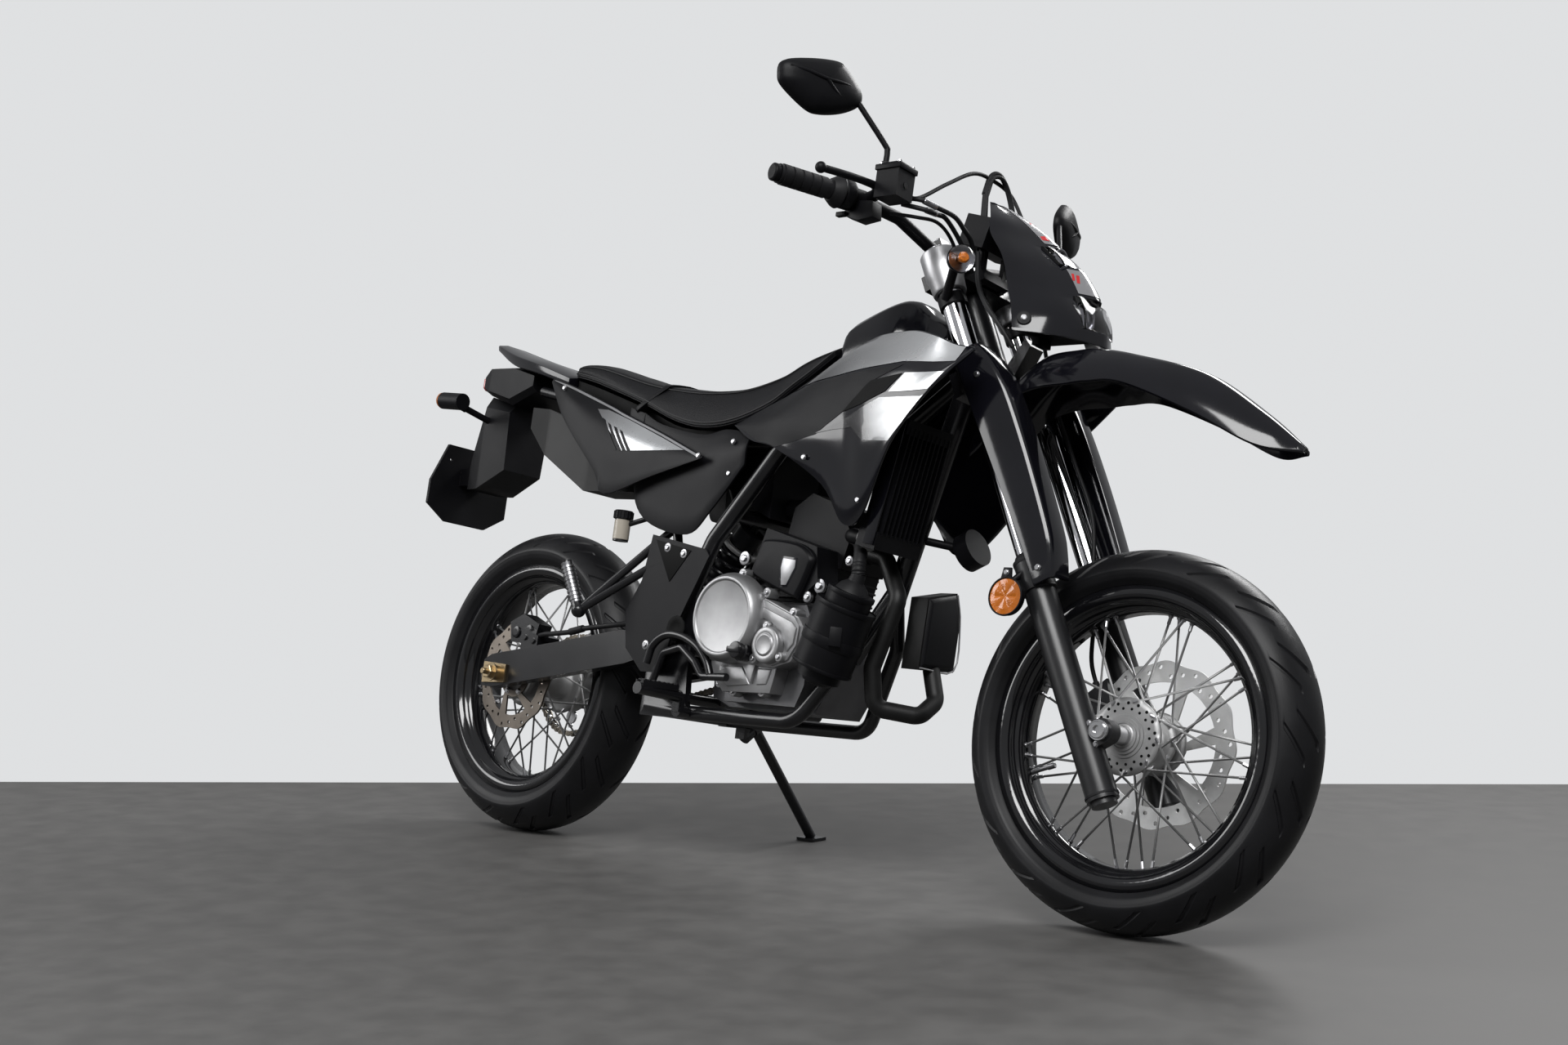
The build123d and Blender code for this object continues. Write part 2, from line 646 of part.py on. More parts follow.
def front_fender():
    rows = [
        # x, edge y, edge z, shoulder y, shoulder z, crown z
        (1070, 44, 738, 36, 772, 782),
        (1105, 56, 762, 44, 796, 808),
        (1150, 66, 822, 50, 856, 866),
        (1200, 72, 842, 52, 894, 906),
        (1260, 76, 846, 52, 904, 914),
        (1300, 76, 849, 50, 905, 914),
        (1363, 72, 846, 46, 894, 903),
        (1484, 62, 798, 38, 860, 869),
        (1586, 46, 748, 26, 798, 804),
        (1651, 12, 742, 6, 748, 751),
    ]
    stations = [(x, [(ye, ze), (ys, zs), (0, zc)]) for x, ye, ze, ys, zs, zc in rows]
    return arch(stations, 3.0)


def fork_guard(side):
    """Long guard outside and ahead of a stanchion, as sections up the fork."""
    sections = []
    out, wall = 129.0, 4.0
    for s, n0, n1 in ((552, 26, 64), (636, 24, 82), (880, 10, 84), (985, 8, 56)):
        ring = [(n0, out), (n0, out + wall), (n1 - 8, out + wall), (n1, out - 6), (n1 + 2, 86), (n1 - 2, 86),
                (n1 - 4, out - 8), (n1 - 10, out)]
        sections.append([fork(n, side * y, s) for n, y in ring])
    return loft(sections)


def front_caliper():
    """Caliper behind the left leg, over the disc."""
    disc_y = FRONT_HUB_LEFT + SEAT_GAP + DISC_T / 2
    n0, n1 = AXLE_N - 108, AXLE_N - 58
    outline = [(n0, AXLE_S + 40), (n1, AXLE_S + 46), (n1 + 16, AXLE_S + 128), (n0 + 20, AXLE_S + 118)]
    body = fork_plate(outline, disc_y - 18, disc_y + 30)
    slot = rod((WHEELBASE, disc_y - 6, FRONT_R), (WHEELBASE, disc_y + 6, FRONT_R), FRONT_DISC_R + 6)
    leg = fork_drum(LEG_N, LEG_Y, SLIDER_R + SEAT_GAP, SLIDER_BOTTOM_S, SLIDER_TOP_S)
    arm = [(n1 - 10, AXLE_S + 60), (LEG_N, AXLE_S + 66), (LEG_N, AXLE_S + 96), (n1 - 10, AXLE_S + 100)]
    bracket = fork_plate(arm, disc_y + 12, disc_y + 28)
    return (joined([body, bracket]) - slot - leg).solid()


def front_reflector():
    """Round reflector behind the right slider's collar."""
    middle, radius = (1247, -138, 486), 29
    disc = rod((middle[0], -133, middle[2]), (middle[0], -141, middle[2]), radius)
    arm = rod(fork(-14, -134, 572), fork(10, -122, 584), 5)
    return (joined([disc, arm]) - fork_drum(LEG_N, -LEG_Y, SLIDER_TOP_R + SEAT_GAP, 500, 640)).solid()


def brake_hose():
    """Hose from the bar's reservoir, arched over the instrument, down inside the left leg to the caliper."""
    start = (1016, -248 + SEAT_GAP, 1136)
    points = [start, (1016, -200, 1136), (1016, -60, 1238), (1016, 56, 1238), (1080, 66, 1110),
              (1098, 74, 1010), fork(58, 79, 930), fork(58, 79, 700), fork(30, 66, 600), fork(8, 66, 530),
              fork(-20, 69, 470), fork(-20, 69, 426)]
    return tube(points, 3.5, 24)


def steering():
    legs = [-1, 1]
    leg_tube = (STANCHION_R, SLIDER_TOP_S, STANCHION_TOP_S)
    return {
        "front_axle": [front_axle()],
        "fork_sliders": [slider(s) for s in legs],
        "fork_stanchions": [fork_drum(LEG_N, s * LEG_Y, *leg_tube) for s in legs],
        "fork_clamps": [lower_clamp(), upper_clamp()],
        "handlebar": [handlebar()],
        "grips": [grip(s) for s in legs],
        "bar_controls": [bar_control(s) for s in legs],
        "mirrors": [mirror_unit(s) for s in legs],
        "front_cowl": [front_cowl()],
        "headlamps": [headlamps()],
        "instrument": [instrument()],
        "front_indicators": [front_indicator(s) for s in legs],
        "front_fender": [front_fender()],
        "fork_guards": [fork_guard(s) for s in legs],
        "front_caliper": [front_caliper()],
        "front_reflector": [front_reflector()],
        "front_brake_hose": [brake_hose()],
    }


# Frame, engine and bodywork
MAIN_TUBE = [(1040, 12, 948), (940, 66, 893), (700, 106, 755), (560, 112, 580), (486, 112, 420)]
RAIL = [(908, 6, 505), (886, 50, 415), (800, 96, RAIL_Z + 2), (520, RAIL_Y, RAIL_Z),
        (430, RAIL_Y, RAIL_Z + 6)]
SUB_TUBE = [(690, 100, 760), (470, 84, 772), (250, 84, 832), (-60, 62, 902)]
STRUT = [(486, 104, 465), (440, 96, 600), (345, 84, 804)]
DOWN_TUBE = (fork(-12, 0, 1045), (905.0, 0.0, 480.0))
DOWN_TUBE_R = 19.0
SUB_R = 11.0
STRUT_R = 9.0
SHOCK_TOP = (560.0, 640.0)
SHOCK_FOOT = (385.0, 417.6)


def on_side(points, side):
    return [(x, side * y, z) for x, y, z in points]


def frame():
    """Welded frame: head tube, tubes, pivot plates and brackets, in one piece."""
    shapes = [fork_drum(0, 0, HEAD_TUBE_R, *HEAD_TUBE_S), rod(*DOWN_TUBE, DOWN_TUBE_R)]
    for side in (-1, 1):
        shapes.append(tube(on_side(MAIN_TUBE, side), TUBE_R, 70))
        shapes.append(tube(on_side(RAIL, side), RAIL_R, 50))
        shapes.append(tube(on_side(SUB_TUBE, side), SUB_R, 60))
        shapes.append(tube(on_side(STRUT, side), STRUT_R, 60))
        plate = [(420, 252), (540, 252), (532, 330), (532, 450), (526, 492), (456, 484), (424, 420)]
        shapes.append(side_plate(plate, side * PLATE_IN, side * PLATE_OUT))
        shapes.append(side_plate([(SHOCK_TOP[0] - 10, 652), (602, 646), (602, 612), (SHOCK_TOP[0] - 10, 626)],
                                 side * (14 + SEAT_GAP), side * 24))
        shapes.append(block((20, 40), (side * 50, side * 66), (876, 905.5)))
    cross_tubes = ((516, 474, 12, 104), (440, RAIL_Z, 11, 100), (530, 290, 11, 104), (712, 750, 9, 101),
                   (598, 628, 12, 108), (-20, 893, 9, 64))
    for x, z, radius, half in cross_tubes:
        shapes.append(drum(x, z, radius, -half, half))
    shapes.append(side_plate([(839.7, 380), (842.4, 420), (893, 505), (906, 470)], -8, 8))
    pivot, axis = Vector(*STAND_PIVOT), STAND_AXIS
    shapes.append(rod(tuple(pivot - axis * 34), tuple(pivot - axis * (STAND_BOSS + RUN_GAP)), 14))
    shapes.append(block((466, 490), (RAIL_Y, RAIL_Y + 14), (232, RAIL_Z)))
    body = joined(shapes)
    body = body - fork_drum(0, 0, STEM_R + RUN_GAP, HEAD_TUBE_S[0] - 5, HEAD_TUBE_S[1] + 5)
    return (body - drum(PIVOT_X, PIVOT_Z, PIVOT_R + SEAT_GAP, -130, 130)).solid()


def swingarm():
    arm = [(-52, REAR_R - 27), (-52, REAR_R + 25), (-30, REAR_R + 37), (350, 406), (400, 406), (400, 352),
           (370, 343), (-20, REAR_R - 29)]
    shapes = [side_plate(arm, side * ARM_IN, side * ARM_OUT) for side in (-1, 1)]
    shapes.append(block((340, 398), (-ARM_IN, ARM_IN), (346, 404)))
    for side in (-1, 1):
        lug = [(390, 352), (PIVOT_X, PIVOT_Z - 22), (PIVOT_X + 20, PIVOT_Z), (PIVOT_X, PIVOT_Z + 20),
               (390, 404)]
        shapes.append(side_plate(lug, side * 40, side * 70))
    shapes.append(drum(PIVOT_X, PIVOT_Z, 20, -90, 90))
    body = joined(shapes)
    body = body - drum(PIVOT_X, PIVOT_Z, PIVOT_R + SEAT_GAP, -130, 130)
    return (body - drum(0, REAR_R, REAR_AXLE_R + SEAT_GAP, -140, 140)).solid()


def rear_axle():
    """Axle, nuts, chain adjuster plates and the collars inside the arms."""
    x, z = 0.0, REAR_R
    shapes = [drum(x, z, REAR_AXLE_R, -148, 140)]
    hub_ends = (REAR_HUB_RIGHT - 14 - SEAT_GAP, REAR_HUB_LEFT + 9 + SEAT_GAP)
    shapes.append(drum(x, z, 14, -ARM_IN + SEAT_GAP, hub_ends[0]))
    shapes.append(drum(x, z, 14, hub_ends[1], ARM_IN - SEAT_GAP))
    for side in (-1, 1):
        y0 = side * (ARM_OUT + SEAT_GAP)
        plate = [(-44, z - 21), (26, z - 18), (26, z + 18), (-44, z + 21)]
        shapes.append(side_plate(plate, y0, y0 + side * 5))
        shapes.append(drum(x, z, 15, y0, y0 + side * 18))
    return joined(shapes)


def crankcase():
    """Engine cases, with the generator cover on the left and a lug on the frame's cross tube."""
    outline = [(556, 300), (600, 284), (810, 284), (836, 330), (842, 420), (806, 478), (600, 478), (548, 452),
               (600, 430), (612, 400), (600, 362), (552, 345)]
    shoulder = [(616, 292), (790, 292), (806, 330), (806, 440), (790, 470), (630, 470), (622, 400)]
    return joined([side_plate(outline, -60, 60), side_plate(shoulder, -92, -60), side_plate(shoulder, 60, 82),
                   drum(732, 392, 70, 82, 106), block((541.3, 570), (-24, 24), (284, 318))])


def clutch_cover():
    base = [(594, 380), (652, 312), (786, 312), (806, 370), (812, 432), (786, 464), (690, 500), (606, 492)]
    y = -92 - SEAT_GAP
    return joined([side_plate(base, y, -138), drum(657, 436, 78, y, -150), drum(657, 436, 73, -150, -166),
                   drum(762, 392, 27, -138, -158)])


PORT = (Vector(820, -18, 580), Vector(862, -24, 572))


def cylinder():
    """Barrel, head, exhaust and intake ports, and the cover over the cam drive on the right."""
    barrel = [(672, 478.3), (800, 478.3), (818, 548), (690, 556)]
    head = [(684, 550), (826, 540), (842, 600), (812, 652), (740, 676), (700, 650), (690, 600)]
    cover = [(664, 527), (690, 603), (815, 570), (826, 509), (788, 479)]
    window = [(738, 545), (775, 540), (783, 494), (746, 499)]
    body = joined([side_plate(barrel, -60, 60), side_plate(head, -58, 58),
                   rod(tuple(PORT[0]), tuple(PORT[1]), 19), rod((740, 0, 656), (640.3, 0, 656), 20),
                   side_plate(cover, -58, -112)])
    return (body - side_plate(window, -108, -120)).solid()


def airbox():
    half = 60
    rows = [(500, 700, 789.7), (573, 660, 796.7), (640, 630, 822)]
    return hull_block([(x, [(half, low), (half, high)]) for x, low, high in rows])


def canister():
    """Upright can on the engine's right front corner, held on the frame's rail."""
    bottom, top = Vector(874, -134, 342), Vector(928, -134, 491)
    way = (top - bottom).normalized()
    at = lambda t: tuple(bottom + way * t)
    bracket = rod((890, -90, 410), (884, -52, 410), 6)
    body = joined([rod(at(0), at(20), 38), rod(at(20), at(132), 52), rod(at(132), at(158), 40), bracket])
    return (body - tube(on_side(RAIL, -1), RAIL_R + SEAT_GAP, 50)).solid()


def exhaust():
    """Header that leaves the head, loops under the front and rises into its shielded box."""
    way = (PORT[1] - PORT[0]).normalized()
    points = [tuple(PORT[1] + way * SEAT_GAP), tuple(PORT[1] + way * 44), (960, -50, 492), (926, -58, 372),
              (930, -46, 305), (985, 10, 300), (985, 50, 330), (962, 56, 384)]
    pipe = tube(points, 15, 24)
    box = front_plate([(8, 380), (104, 386), (108, 470), (92, 524), (14, 505)], 934, 972)
    return joined([pipe, box])


def silencer():
    """Flat silencer behind the right side cover, hung from the frame's rear tube."""
    body = loft([[(x, -y, z) for y, z in outline] for x, outline in (
        (-30, [(54, 790), (54, 850), (108, 856), (108, 812)]),
        (60, [(52, 745), (52, 838), (134, 842), (134, 748)]),
        (200, [(52, 672), (52, 796), (138, 796), (138, 672)]),
        (322, [(56, 668), (56, 740), (116, 730), (116, 672)]))])
    hanger = block((190, 210), (-94, -74), (780, 850))
    return (joined([body, hanger]) - tube(on_side(SUB_TUBE, -1), SUB_R + SEAT_GAP, 60) - block(
        (180, 220), (-100, -60), (846, 900))).solid()


def radiator():
    """Core with tanks above and below, leaning with the down tube, and its louvre grille."""
    core = side_plate([(936, 590), (968, 583), (1009, 778), (977, 785)], -140, -30)
    shapes = [core]
    for i in range(10):
        y = -136 + i * 11.5
        shapes.append(side_plate([(966, 588), (979, 586), (1017, 768), (1005, 771)], y, y + 3))
    shapes.append(side_plate([(930, 570), (972, 561), (978, 590), (936, 600)], -144, -26))
    shapes.append(side_plate([(971, 764), (1013, 756), (1018, 780), (976, 788)], -144, -26))
    foot, head = Vector(*DOWN_TUBE[1]), Vector(*DOWN_TUBE[0])
    for z in (640, 740):
        x = foot.X + (head.X - foot.X) * (z - foot.Z) / (head.Z - foot.Z)
        shapes.append(rod((x, -DOWN_TUBE_R - SEAT_GAP, z), (x, -32, z), 6))
        shapes.append(rod((x, -34, z), (x + 12, -34, z), 6))
    return joined(shapes)


def coolant_hose():
    return tube([(931.4, -110, 582), (890, -110, 590), (853, -56, 596)], 13, 24)


def horn():
    body = joined([rod((1000, 66, 590), (1026, 66, 602), 34), rod((1004, 60, 596), (944, 6, 604), 7)])
    return (body - rod(*DOWN_TUBE, DOWN_TUBE_R + SEAT_GAP)).solid()


def tank_cover():
    rows = [
        # x, half width low, z low, half width top, z shoulder, z crown
        (700, 74, 790, 66, 826, 838),
        (770, 80, 850, 66, 884, 892),
        (772, 80, 852, 60, 964, 984),
        (790, 80, 860, 60, 976, 996),
        (866, 76, 900, 56, 1008, 1022),
        (904, 58, 908, 40, 1016, 1026),
        (940, 44, 907, 30, 990, 999),
        (985, 32, 942, 20, 970, 976),
    ]
    stations = [(x, [(yl * 0.55, zl), (yl, zl + 6), (yt, zs), (yt * 0.4, zc)])
                for x, yl, zl, yt, zs, zc in rows]
    return hull_block(stations)


def shroud(side):
    rows = [
        # x, then (y, z) from the upper edge down
        (576, [(112, 797), (114, 796), (116, 795), (117, 794)]),
        (640, [(112, 822), (126, 800), (132, 782), (132, 760)]),
        (716, [(112, 852), (132, 826), (146, 790), (145, 740)]),
        (843, [(104, 925), (150, 880), (168, 770), (152, 672)]),
        (903, [(108, 943), (162, 890), (178, 780), (154, 604)]),
        (957, [(122, 941), (174, 880), (192, 760), (168, 615)]),
        (1027, [(158, 928), (188, 870), (204, 780), (202, 723)]),
        (1095, [(189, 906), (198, 862), (208, 826), (210, 800)]),
        (1140, [(194, 888), (202, 862), (208, 850), (209, 838)]),
        (1184, [(198, 879), (201, 877), (202, 875), (203, 873)]),
    ]
    boss = rod((843, side * 99.8, 837), (843, side * 155, 837), 6)
    return joined([skin(rows, side, SKIN), boss])


def seat():
    rows = [
        # x, half width low, z low, half width shoulder, z shoulder, z crown
        (66, 84, 918, 78, 930, 938),
        (90, 96, 914, 92, 938, 950),
        (161, 104, 896, 96, 930, 942),
        (314, 118, 846, 100, 888, 900),
        (423, 124, 805, 102, 868, 882),
        (500, 122, 790, 98, 862, 876),
        (573, 116, 797, 90, 866, 882),
        (646, 104, 826, 78, 888, 902),
        (690, 96, 858, 68, 914, 928),
        (724, 88, 884, 60, 930, 941),
        (768, 76, 922, 46, 948, 953),
    ]
    stations = [(x, [(yl * 0.8, zl), (yl, zl + 6), (ys, zs), (ys * 0.5, zc)])
                for x, yl, zl, ys, zs, zc in rows]
    return hull_block(stations)


def side_cover(side):
    rows = [
        (40, [(122, 910), (124, 906), (126, 902)]),
        (122, [(124, 886), (142, 862), (148, 816)]),
        (242, [(126, 842), (148, 790), (154, 708)]),
        (282, [(128, 826), (150, 770), (154, 662)]),
        (406, [(132, 780), (148, 744), (152, 694)]),
        (536, [(148, 730), (149, 728), (150, 726)]),
    ]
    bosses = [rod((470, side * 132.5, 735), (470, side * 146, 735), 6),
              rod((130, side * 92, 862), (130, side * 140, 862), 6)]
    rail = tube(on_side(SUB_TUBE, side), SUB_R + SEAT_GAP, 60)
    return (joined([skin(rows, side, SKIN), *bosses]) - rail).solid()


def side_panel(side):
    rows = [
        (290, [(121, 838), (122, 826), (123, 810)]),
        (332, [(121, 826), (123, 812), (124, 794)]),
        (336, [(121, 824), (126, 750), (128, 676)]),
        (390, [(121, 800), (128, 740), (132, 612)]),
        (500, [(120, 778), (132, 720), (130, 588)]),
        (560, [(118, 786), (134, 730), (132, 634)]),
        (628, [(116, 776), (130, 752), (130, 716)]),
    ]
    boss = rod((592, side * 98, 765), (592, side * 122, 765), 6)
    rail = tube(on_side(SUB_TUBE, side), SUB_R + SEAT_GAP, 60)
    return (joined([skin(rows, side, SKIN), boss]) - rail).solid()


def tail_cowl():
    rows = [
        (60, [(96, 900), (98, 916), (60, 926)]),
        (-60, [(92, 935), (94, 955), (50, 966)]),
        (-160, [(76, 962), (78, 984), (40, 994)]),
        (-262, [(46, 1008), (48, 1020), (24, 1026)]),
    ]
    return hull_block(rows)


def tail_lamp():
    return hull_block([(-268, [(56, 915), (64, 922), (64, 944), (50, 948)]),
                       (-243, [(58, 903), (70, 912), (70, 960), (50, 966)]),
                       (-165, [(60, 878), (72, 890), (72, 957), (50, 962.6)]),
                       (-90, [(60, 905), (72, 915), (72, 936), (50, 942.6)])])


HOLDER_ROWS = [(-300, [(46, 700), (46, 760), (30, 770)]), (-262, [(52, 700), (54, 880), (40, 905)]),
               (-176, [(50, 740), (56, 864), (40, 880.8)])]


def plate_holder():
    """Rear mudguard arm below the lamp and the blank number plate on its carrier."""
    half = [(70, 797), (106, 712), (106, 661), (54, 628)]
    carrier = front_plate([(-y, z) for y, z in half] + half[::-1], -360, -353)
    link = block((-355, -290), (-30, 30), (712, 750))
    holes = [rod((-370, y, PLATE_HOLE_Z), (-345, y, PLATE_HOLE_Z), PLATE_HOLE_R)
             for y in (-PLATE_HOLE_Y, PLATE_HOLE_Y)]
    return (joined([hull_block(HOLDER_ROWS), carrier, link]) - Compound(holes)).solid()


def rear_indicator(side):
    shapes = [rod((-250, side * 40, 846), (-262, side * 118, 866), 7),
              rod((-232, side * 140, 870), (-300, side * 140, 876), 18),
              rod((-262, side * 108, 864), (-262, side * 140, 872), 9)]
    grown = [(x, [(y + SEAT_GAP, z + SEAT_GAP) for y, z in half]) for x, half in HOLDER_ROWS]
    return (joined(shapes) - hull_block(grown)).solid()


def shock():
    foot, top = Vector(SHOCK_FOOT[0], 0, SHOCK_FOOT[1]), Vector(SHOCK_TOP[0], 0, SHOCK_TOP[1])
    way = (top - foot).normalized()
    full = (top - foot).length
    at = lambda t: tuple(foot + way * t)
    return joined([rod(at(0), at(full), 9), rod(at(34), at(full - 30), 26), drum(foot.X, foot.Z, 13, -14, 14),
                   drum(top.X, top.Z, 13, -14, 14)])


def caliper_rear():
    disc_y = REAR_HUB_RIGHT - SEAT_GAP - DISC_T / 2
    low, top = REAR_R + REAR_DISC_R - 43, REAR_R + REAR_DISC_R + 15
    outline = [(-10, low), (60, low), (72, top - 20), (20, top), (-20, top - 18)]
    body = side_plate(outline, disc_y - 17, disc_y + 17)
    slot = drum(0, REAR_R, REAR_DISC_R + 5, disc_y - 5.5, disc_y + 5.5)
    foot = side_plate([(50, low - 16), (100, low - 7.6), (100, low + 13), (50, low + 28)], -ARM_OUT + 6,
                      disc_y + 17)
    return (joined([body, foot]) - slot).solid()


# Passenger peg hangers: where they leave the strut, and the foot that they share
PEG_ROOTS = [(436, 95, 608), (453, 98, 562)]
PEG_FOOT = (290, 182, 432)


def frame_guard(side):
    """Plastic guard outside the main tube and pivot plate, notched round the lower peg hanger."""
    outline = [(414, 587), (560, 560), (572, 548), (500, 400), (480, 330), (430, 330), (380, 372), (366, 440),
               (400, 500)]
    y = side * (112 + TUBE_R + SEAT_GAP)
    root = PEG_ROOTS[1]
    notch = rod((root[0], side * root[1], root[2]), (PEG_FOOT[0], side * PEG_FOOT[1], PEG_FOOT[2]), 10)
    return (side_plate(outline, y, y + side * 4) - notch).solid()


def reservoir():
    """Rear brake's fluid pot with its arm to the frame's strut."""
    body = joined([rod((312, -122, 575), (312, -122, 618), 15), rod((312, -122, 618), (312, -122, 632), 17),
                   rod((314, -118, 606), (421, -93, 640), 5)])
    return (body - tube(on_side(STRUT, -1), STRUT_R + SEAT_GAP, 60)).solid()


def rider_peg(side):
    root = RAIL_Y + RAIL_R + SEAT_GAP
    return joined([rod((546, side * root, RAIL_Z), (546, side * 140, RAIL_Z), 11),
                   block((537, 555), (side * 128, side * 142), (262, 296)),
                   rod((546, side * 136, 290), (546, side * 240, 294), 11)])


def brake_pedal():
    arm = tube([(470, -140, 300), (500, -146, 366), (548, -148, 378), (590, -150, 352), (612, -150, 328),
                (674, -150, 330)], 7, 14)
    boss = rod((470, -PLATE_OUT - SEAT_GAP, 300), (470, -148, 300), 13)
    return joined([arm, boss])


def gear_lever():
    arm = tube([(560, 128, 330), (640, 140, 322), (716, 146, 330)], 6, 20)
    boss = rod((560, 60.3, 330), (560, 134, 330), 8)
    return joined([arm, boss, rod((716, 140, 330), (716, 180, 330), 9)])


def passenger_peg(side):
    """Hanger of two tubes on the frame's strut, with the peg folded up."""
    foot = (PEG_FOOT[0], side * PEG_FOOT[1], PEG_FOOT[2])
    hangers = [rod((x, side * y, z), foot, 8) for x, y, z in PEG_ROOTS]
    peg = rod(foot, (252, side * 196, 522), 11)
    body = joined([*hangers, peg, Solid.make_sphere(14, Plane(origin=foot))])
    return (body - tube(on_side(STRUT, side), STRUT_R + SEAT_GAP, 60)).solid()


def side_stand():
    """Leg and foot, built where the bike stands, with the pivot boss."""
    pivot = place_point(STAND_PIVOT)
    axis = place_dir(STAND_AXIS).normalized()
    leg = rod(tuple(pivot), (STAND_FOOT_X, STAND_FOOT_Y, 6), STAND_R)
    boss = rod(tuple(pivot - axis * STAND_BOSS), tuple(pivot + axis * STAND_BOSS), 16)
    return joined([leg, stand_pad(0, 6, 0), boss]) - stand_pad(-60, 0, 200)


def stand_pad(z0, z1, grow):
    x, y = STAND_FOOT_X, STAND_FOOT_Y
    corners = [(x - 22 - grow, y - 18 - grow), (x + 22 + grow, y - 18 - grow), (x + 22 + grow, y + 20 + grow),
               (x - 22 - grow, y + 20 + grow)]
    return Solid.extrude(face_of([(px, py, z0) for px, py in corners]), Vector(0, 0, z1 - z0))


def chain():
    """Two side plate runs and the outer run that joins them, in one fixed loop."""
    high, low = CHAIN_HALF_HEIGHT, -CHAIN_HALF_HEIGHT
    return joined([belt(high, low, CHAIN_Y + CHAIN_PLATE_IN, CHAIN_Y + CHAIN_PLATE_OUT),
                   belt(high, low, CHAIN_Y - CHAIN_PLATE_OUT, CHAIN_Y - CHAIN_PLATE_IN),
                   belt(high, high - 2, CHAIN_Y - CHAIN_PLATE_IN, CHAIN_Y + CHAIN_PLATE_IN)])


def swingarm_pivot():
    ends = [drum(PIVOT_X, PIVOT_Z, 14, side * (PLATE_OUT + SEAT_GAP), side * 118) for side in (-1, 1)]
    return joined([drum(PIVOT_X, PIVOT_Z, PIVOT_R, -118, 118), *ends])


def chassis():
    sides = [-1, 1]
    return {
        "frame": [frame()],
        "swingarm": [swingarm()],
        "swingarm_pivot": [swingarm_pivot()],
        "rear_axle": [rear_axle()],
        "chain_drive": [chain(), sprocket(FRONT_SPROCKET_X, FRONT_SPROCKET_Z, FRONT_TEETH, 8, 0)],
        "crankcase": [crankcase()],
        "clutch_cover": [clutch_cover()],
        "cylinder": [cylinder()],
        "airbox": [airbox()],
        "canister": [canister()],
        "exhaust": [exhaust()],
        "silencer": [silencer()],
        "radiator": [radiator(), coolant_hose()],
        "horn": [horn()],
        "tank_cover": [tank_cover()],
        "shrouds": [shroud(s) for s in sides],
        "seat": [seat()],
        "side_covers": [side_cover(s) for s in sides],
        "side_panels": [side_panel(s) for s in sides],
        "tail_cowl": [tail_cowl()],
        "rear_lamps": [tail_lamp(), *[rear_indicator(s) for s in sides]],
        "plate_holder": [plate_holder()],
        "shock": [shock()],
        "rear_brake": [caliper_rear(), reservoir()],
        "frame_guards": [frame_guard(s) for s in sides],
        "footpegs": [peg(s) for peg in (rider_peg, passenger_peg) for s in sides],
        "foot_levers": [brake_pedal(), gear_lever()],
    }


def main():
    os.makedirs("parts", exist_ok=True)
    nodes = {}
    groups = ((front_wheel(), True), (steering(), True), (rear_wheel(), False), (chassis(), False))
    for group, steered in groups:
        for name, shapes in group.items():
            solids = [s for shape in shapes for s in solids_of(shape)]
            nodes[name] = [placed(s, steered) for s in solids]
    nodes["side_stand"] = [side_stand()]
    whole = Compound([s for solids in nodes.values() for s in solids]).bounding_box()
    shift = Vector(-(whole.min.X + whole.max.X) / 2, -(whole.min.Y + whole.max.Y) / 2, -whole.min.Z)
    print("size", [round(v, 1) for v in whole.size], "shift", [round(v, 3) for v in shift])
    for name, solids in nodes.items():
        moved = [s.translate(shift) for s in solids]
        export_step(moved[0] if len(moved) == 1 else Compound(moved), f"parts/{name}.step")
    return nodes, shift


if __name__ == "__main__":
    main()
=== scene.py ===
import json
from math import acos, asin, atan2, cos, hypot, pi, radians, sin, sqrt
import bmesh
import bpy
from mathutils import Matrix, Vector
from mathutils.bvhtree import BVHTree


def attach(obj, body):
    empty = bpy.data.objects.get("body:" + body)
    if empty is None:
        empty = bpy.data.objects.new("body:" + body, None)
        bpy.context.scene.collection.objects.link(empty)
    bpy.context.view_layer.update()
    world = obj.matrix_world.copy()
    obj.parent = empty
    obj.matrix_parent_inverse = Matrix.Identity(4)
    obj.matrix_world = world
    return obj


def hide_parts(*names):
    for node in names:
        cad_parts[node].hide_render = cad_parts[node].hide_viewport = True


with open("model.json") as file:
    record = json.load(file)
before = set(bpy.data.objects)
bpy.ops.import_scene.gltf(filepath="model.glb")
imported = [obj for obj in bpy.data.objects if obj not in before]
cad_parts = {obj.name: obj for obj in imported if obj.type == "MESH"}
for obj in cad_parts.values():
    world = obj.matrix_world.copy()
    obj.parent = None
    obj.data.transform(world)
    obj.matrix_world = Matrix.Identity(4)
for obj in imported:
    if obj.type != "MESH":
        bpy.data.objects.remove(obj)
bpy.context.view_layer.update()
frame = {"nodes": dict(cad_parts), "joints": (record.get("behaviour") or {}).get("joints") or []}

scene = bpy.context.scene
joints = {j["name"]: j for j in frame["joints"]}

# The upright bike: millimetres, x from the rear axle, y to the left, z up from the floor
MM = 0.001
RAKE = radians(26.5)
WHEELBASE, TRAIL = 1425.0, 85.0
FRONT_R, REAR_R = 295.0, 305.0
FORK_Y, FORK_N = 100, 19
SPROCKET, PIVOT = (572.0, 396.0), (470, 392)
RIGHT, LEFT, FORWARD, BACKWARD, UPWARD = (0, -1, 0), (0, 1, 0), (1, 0, 0), (-1, 0, 0), (0, 0, 1)
SIDES = (-1, 1)


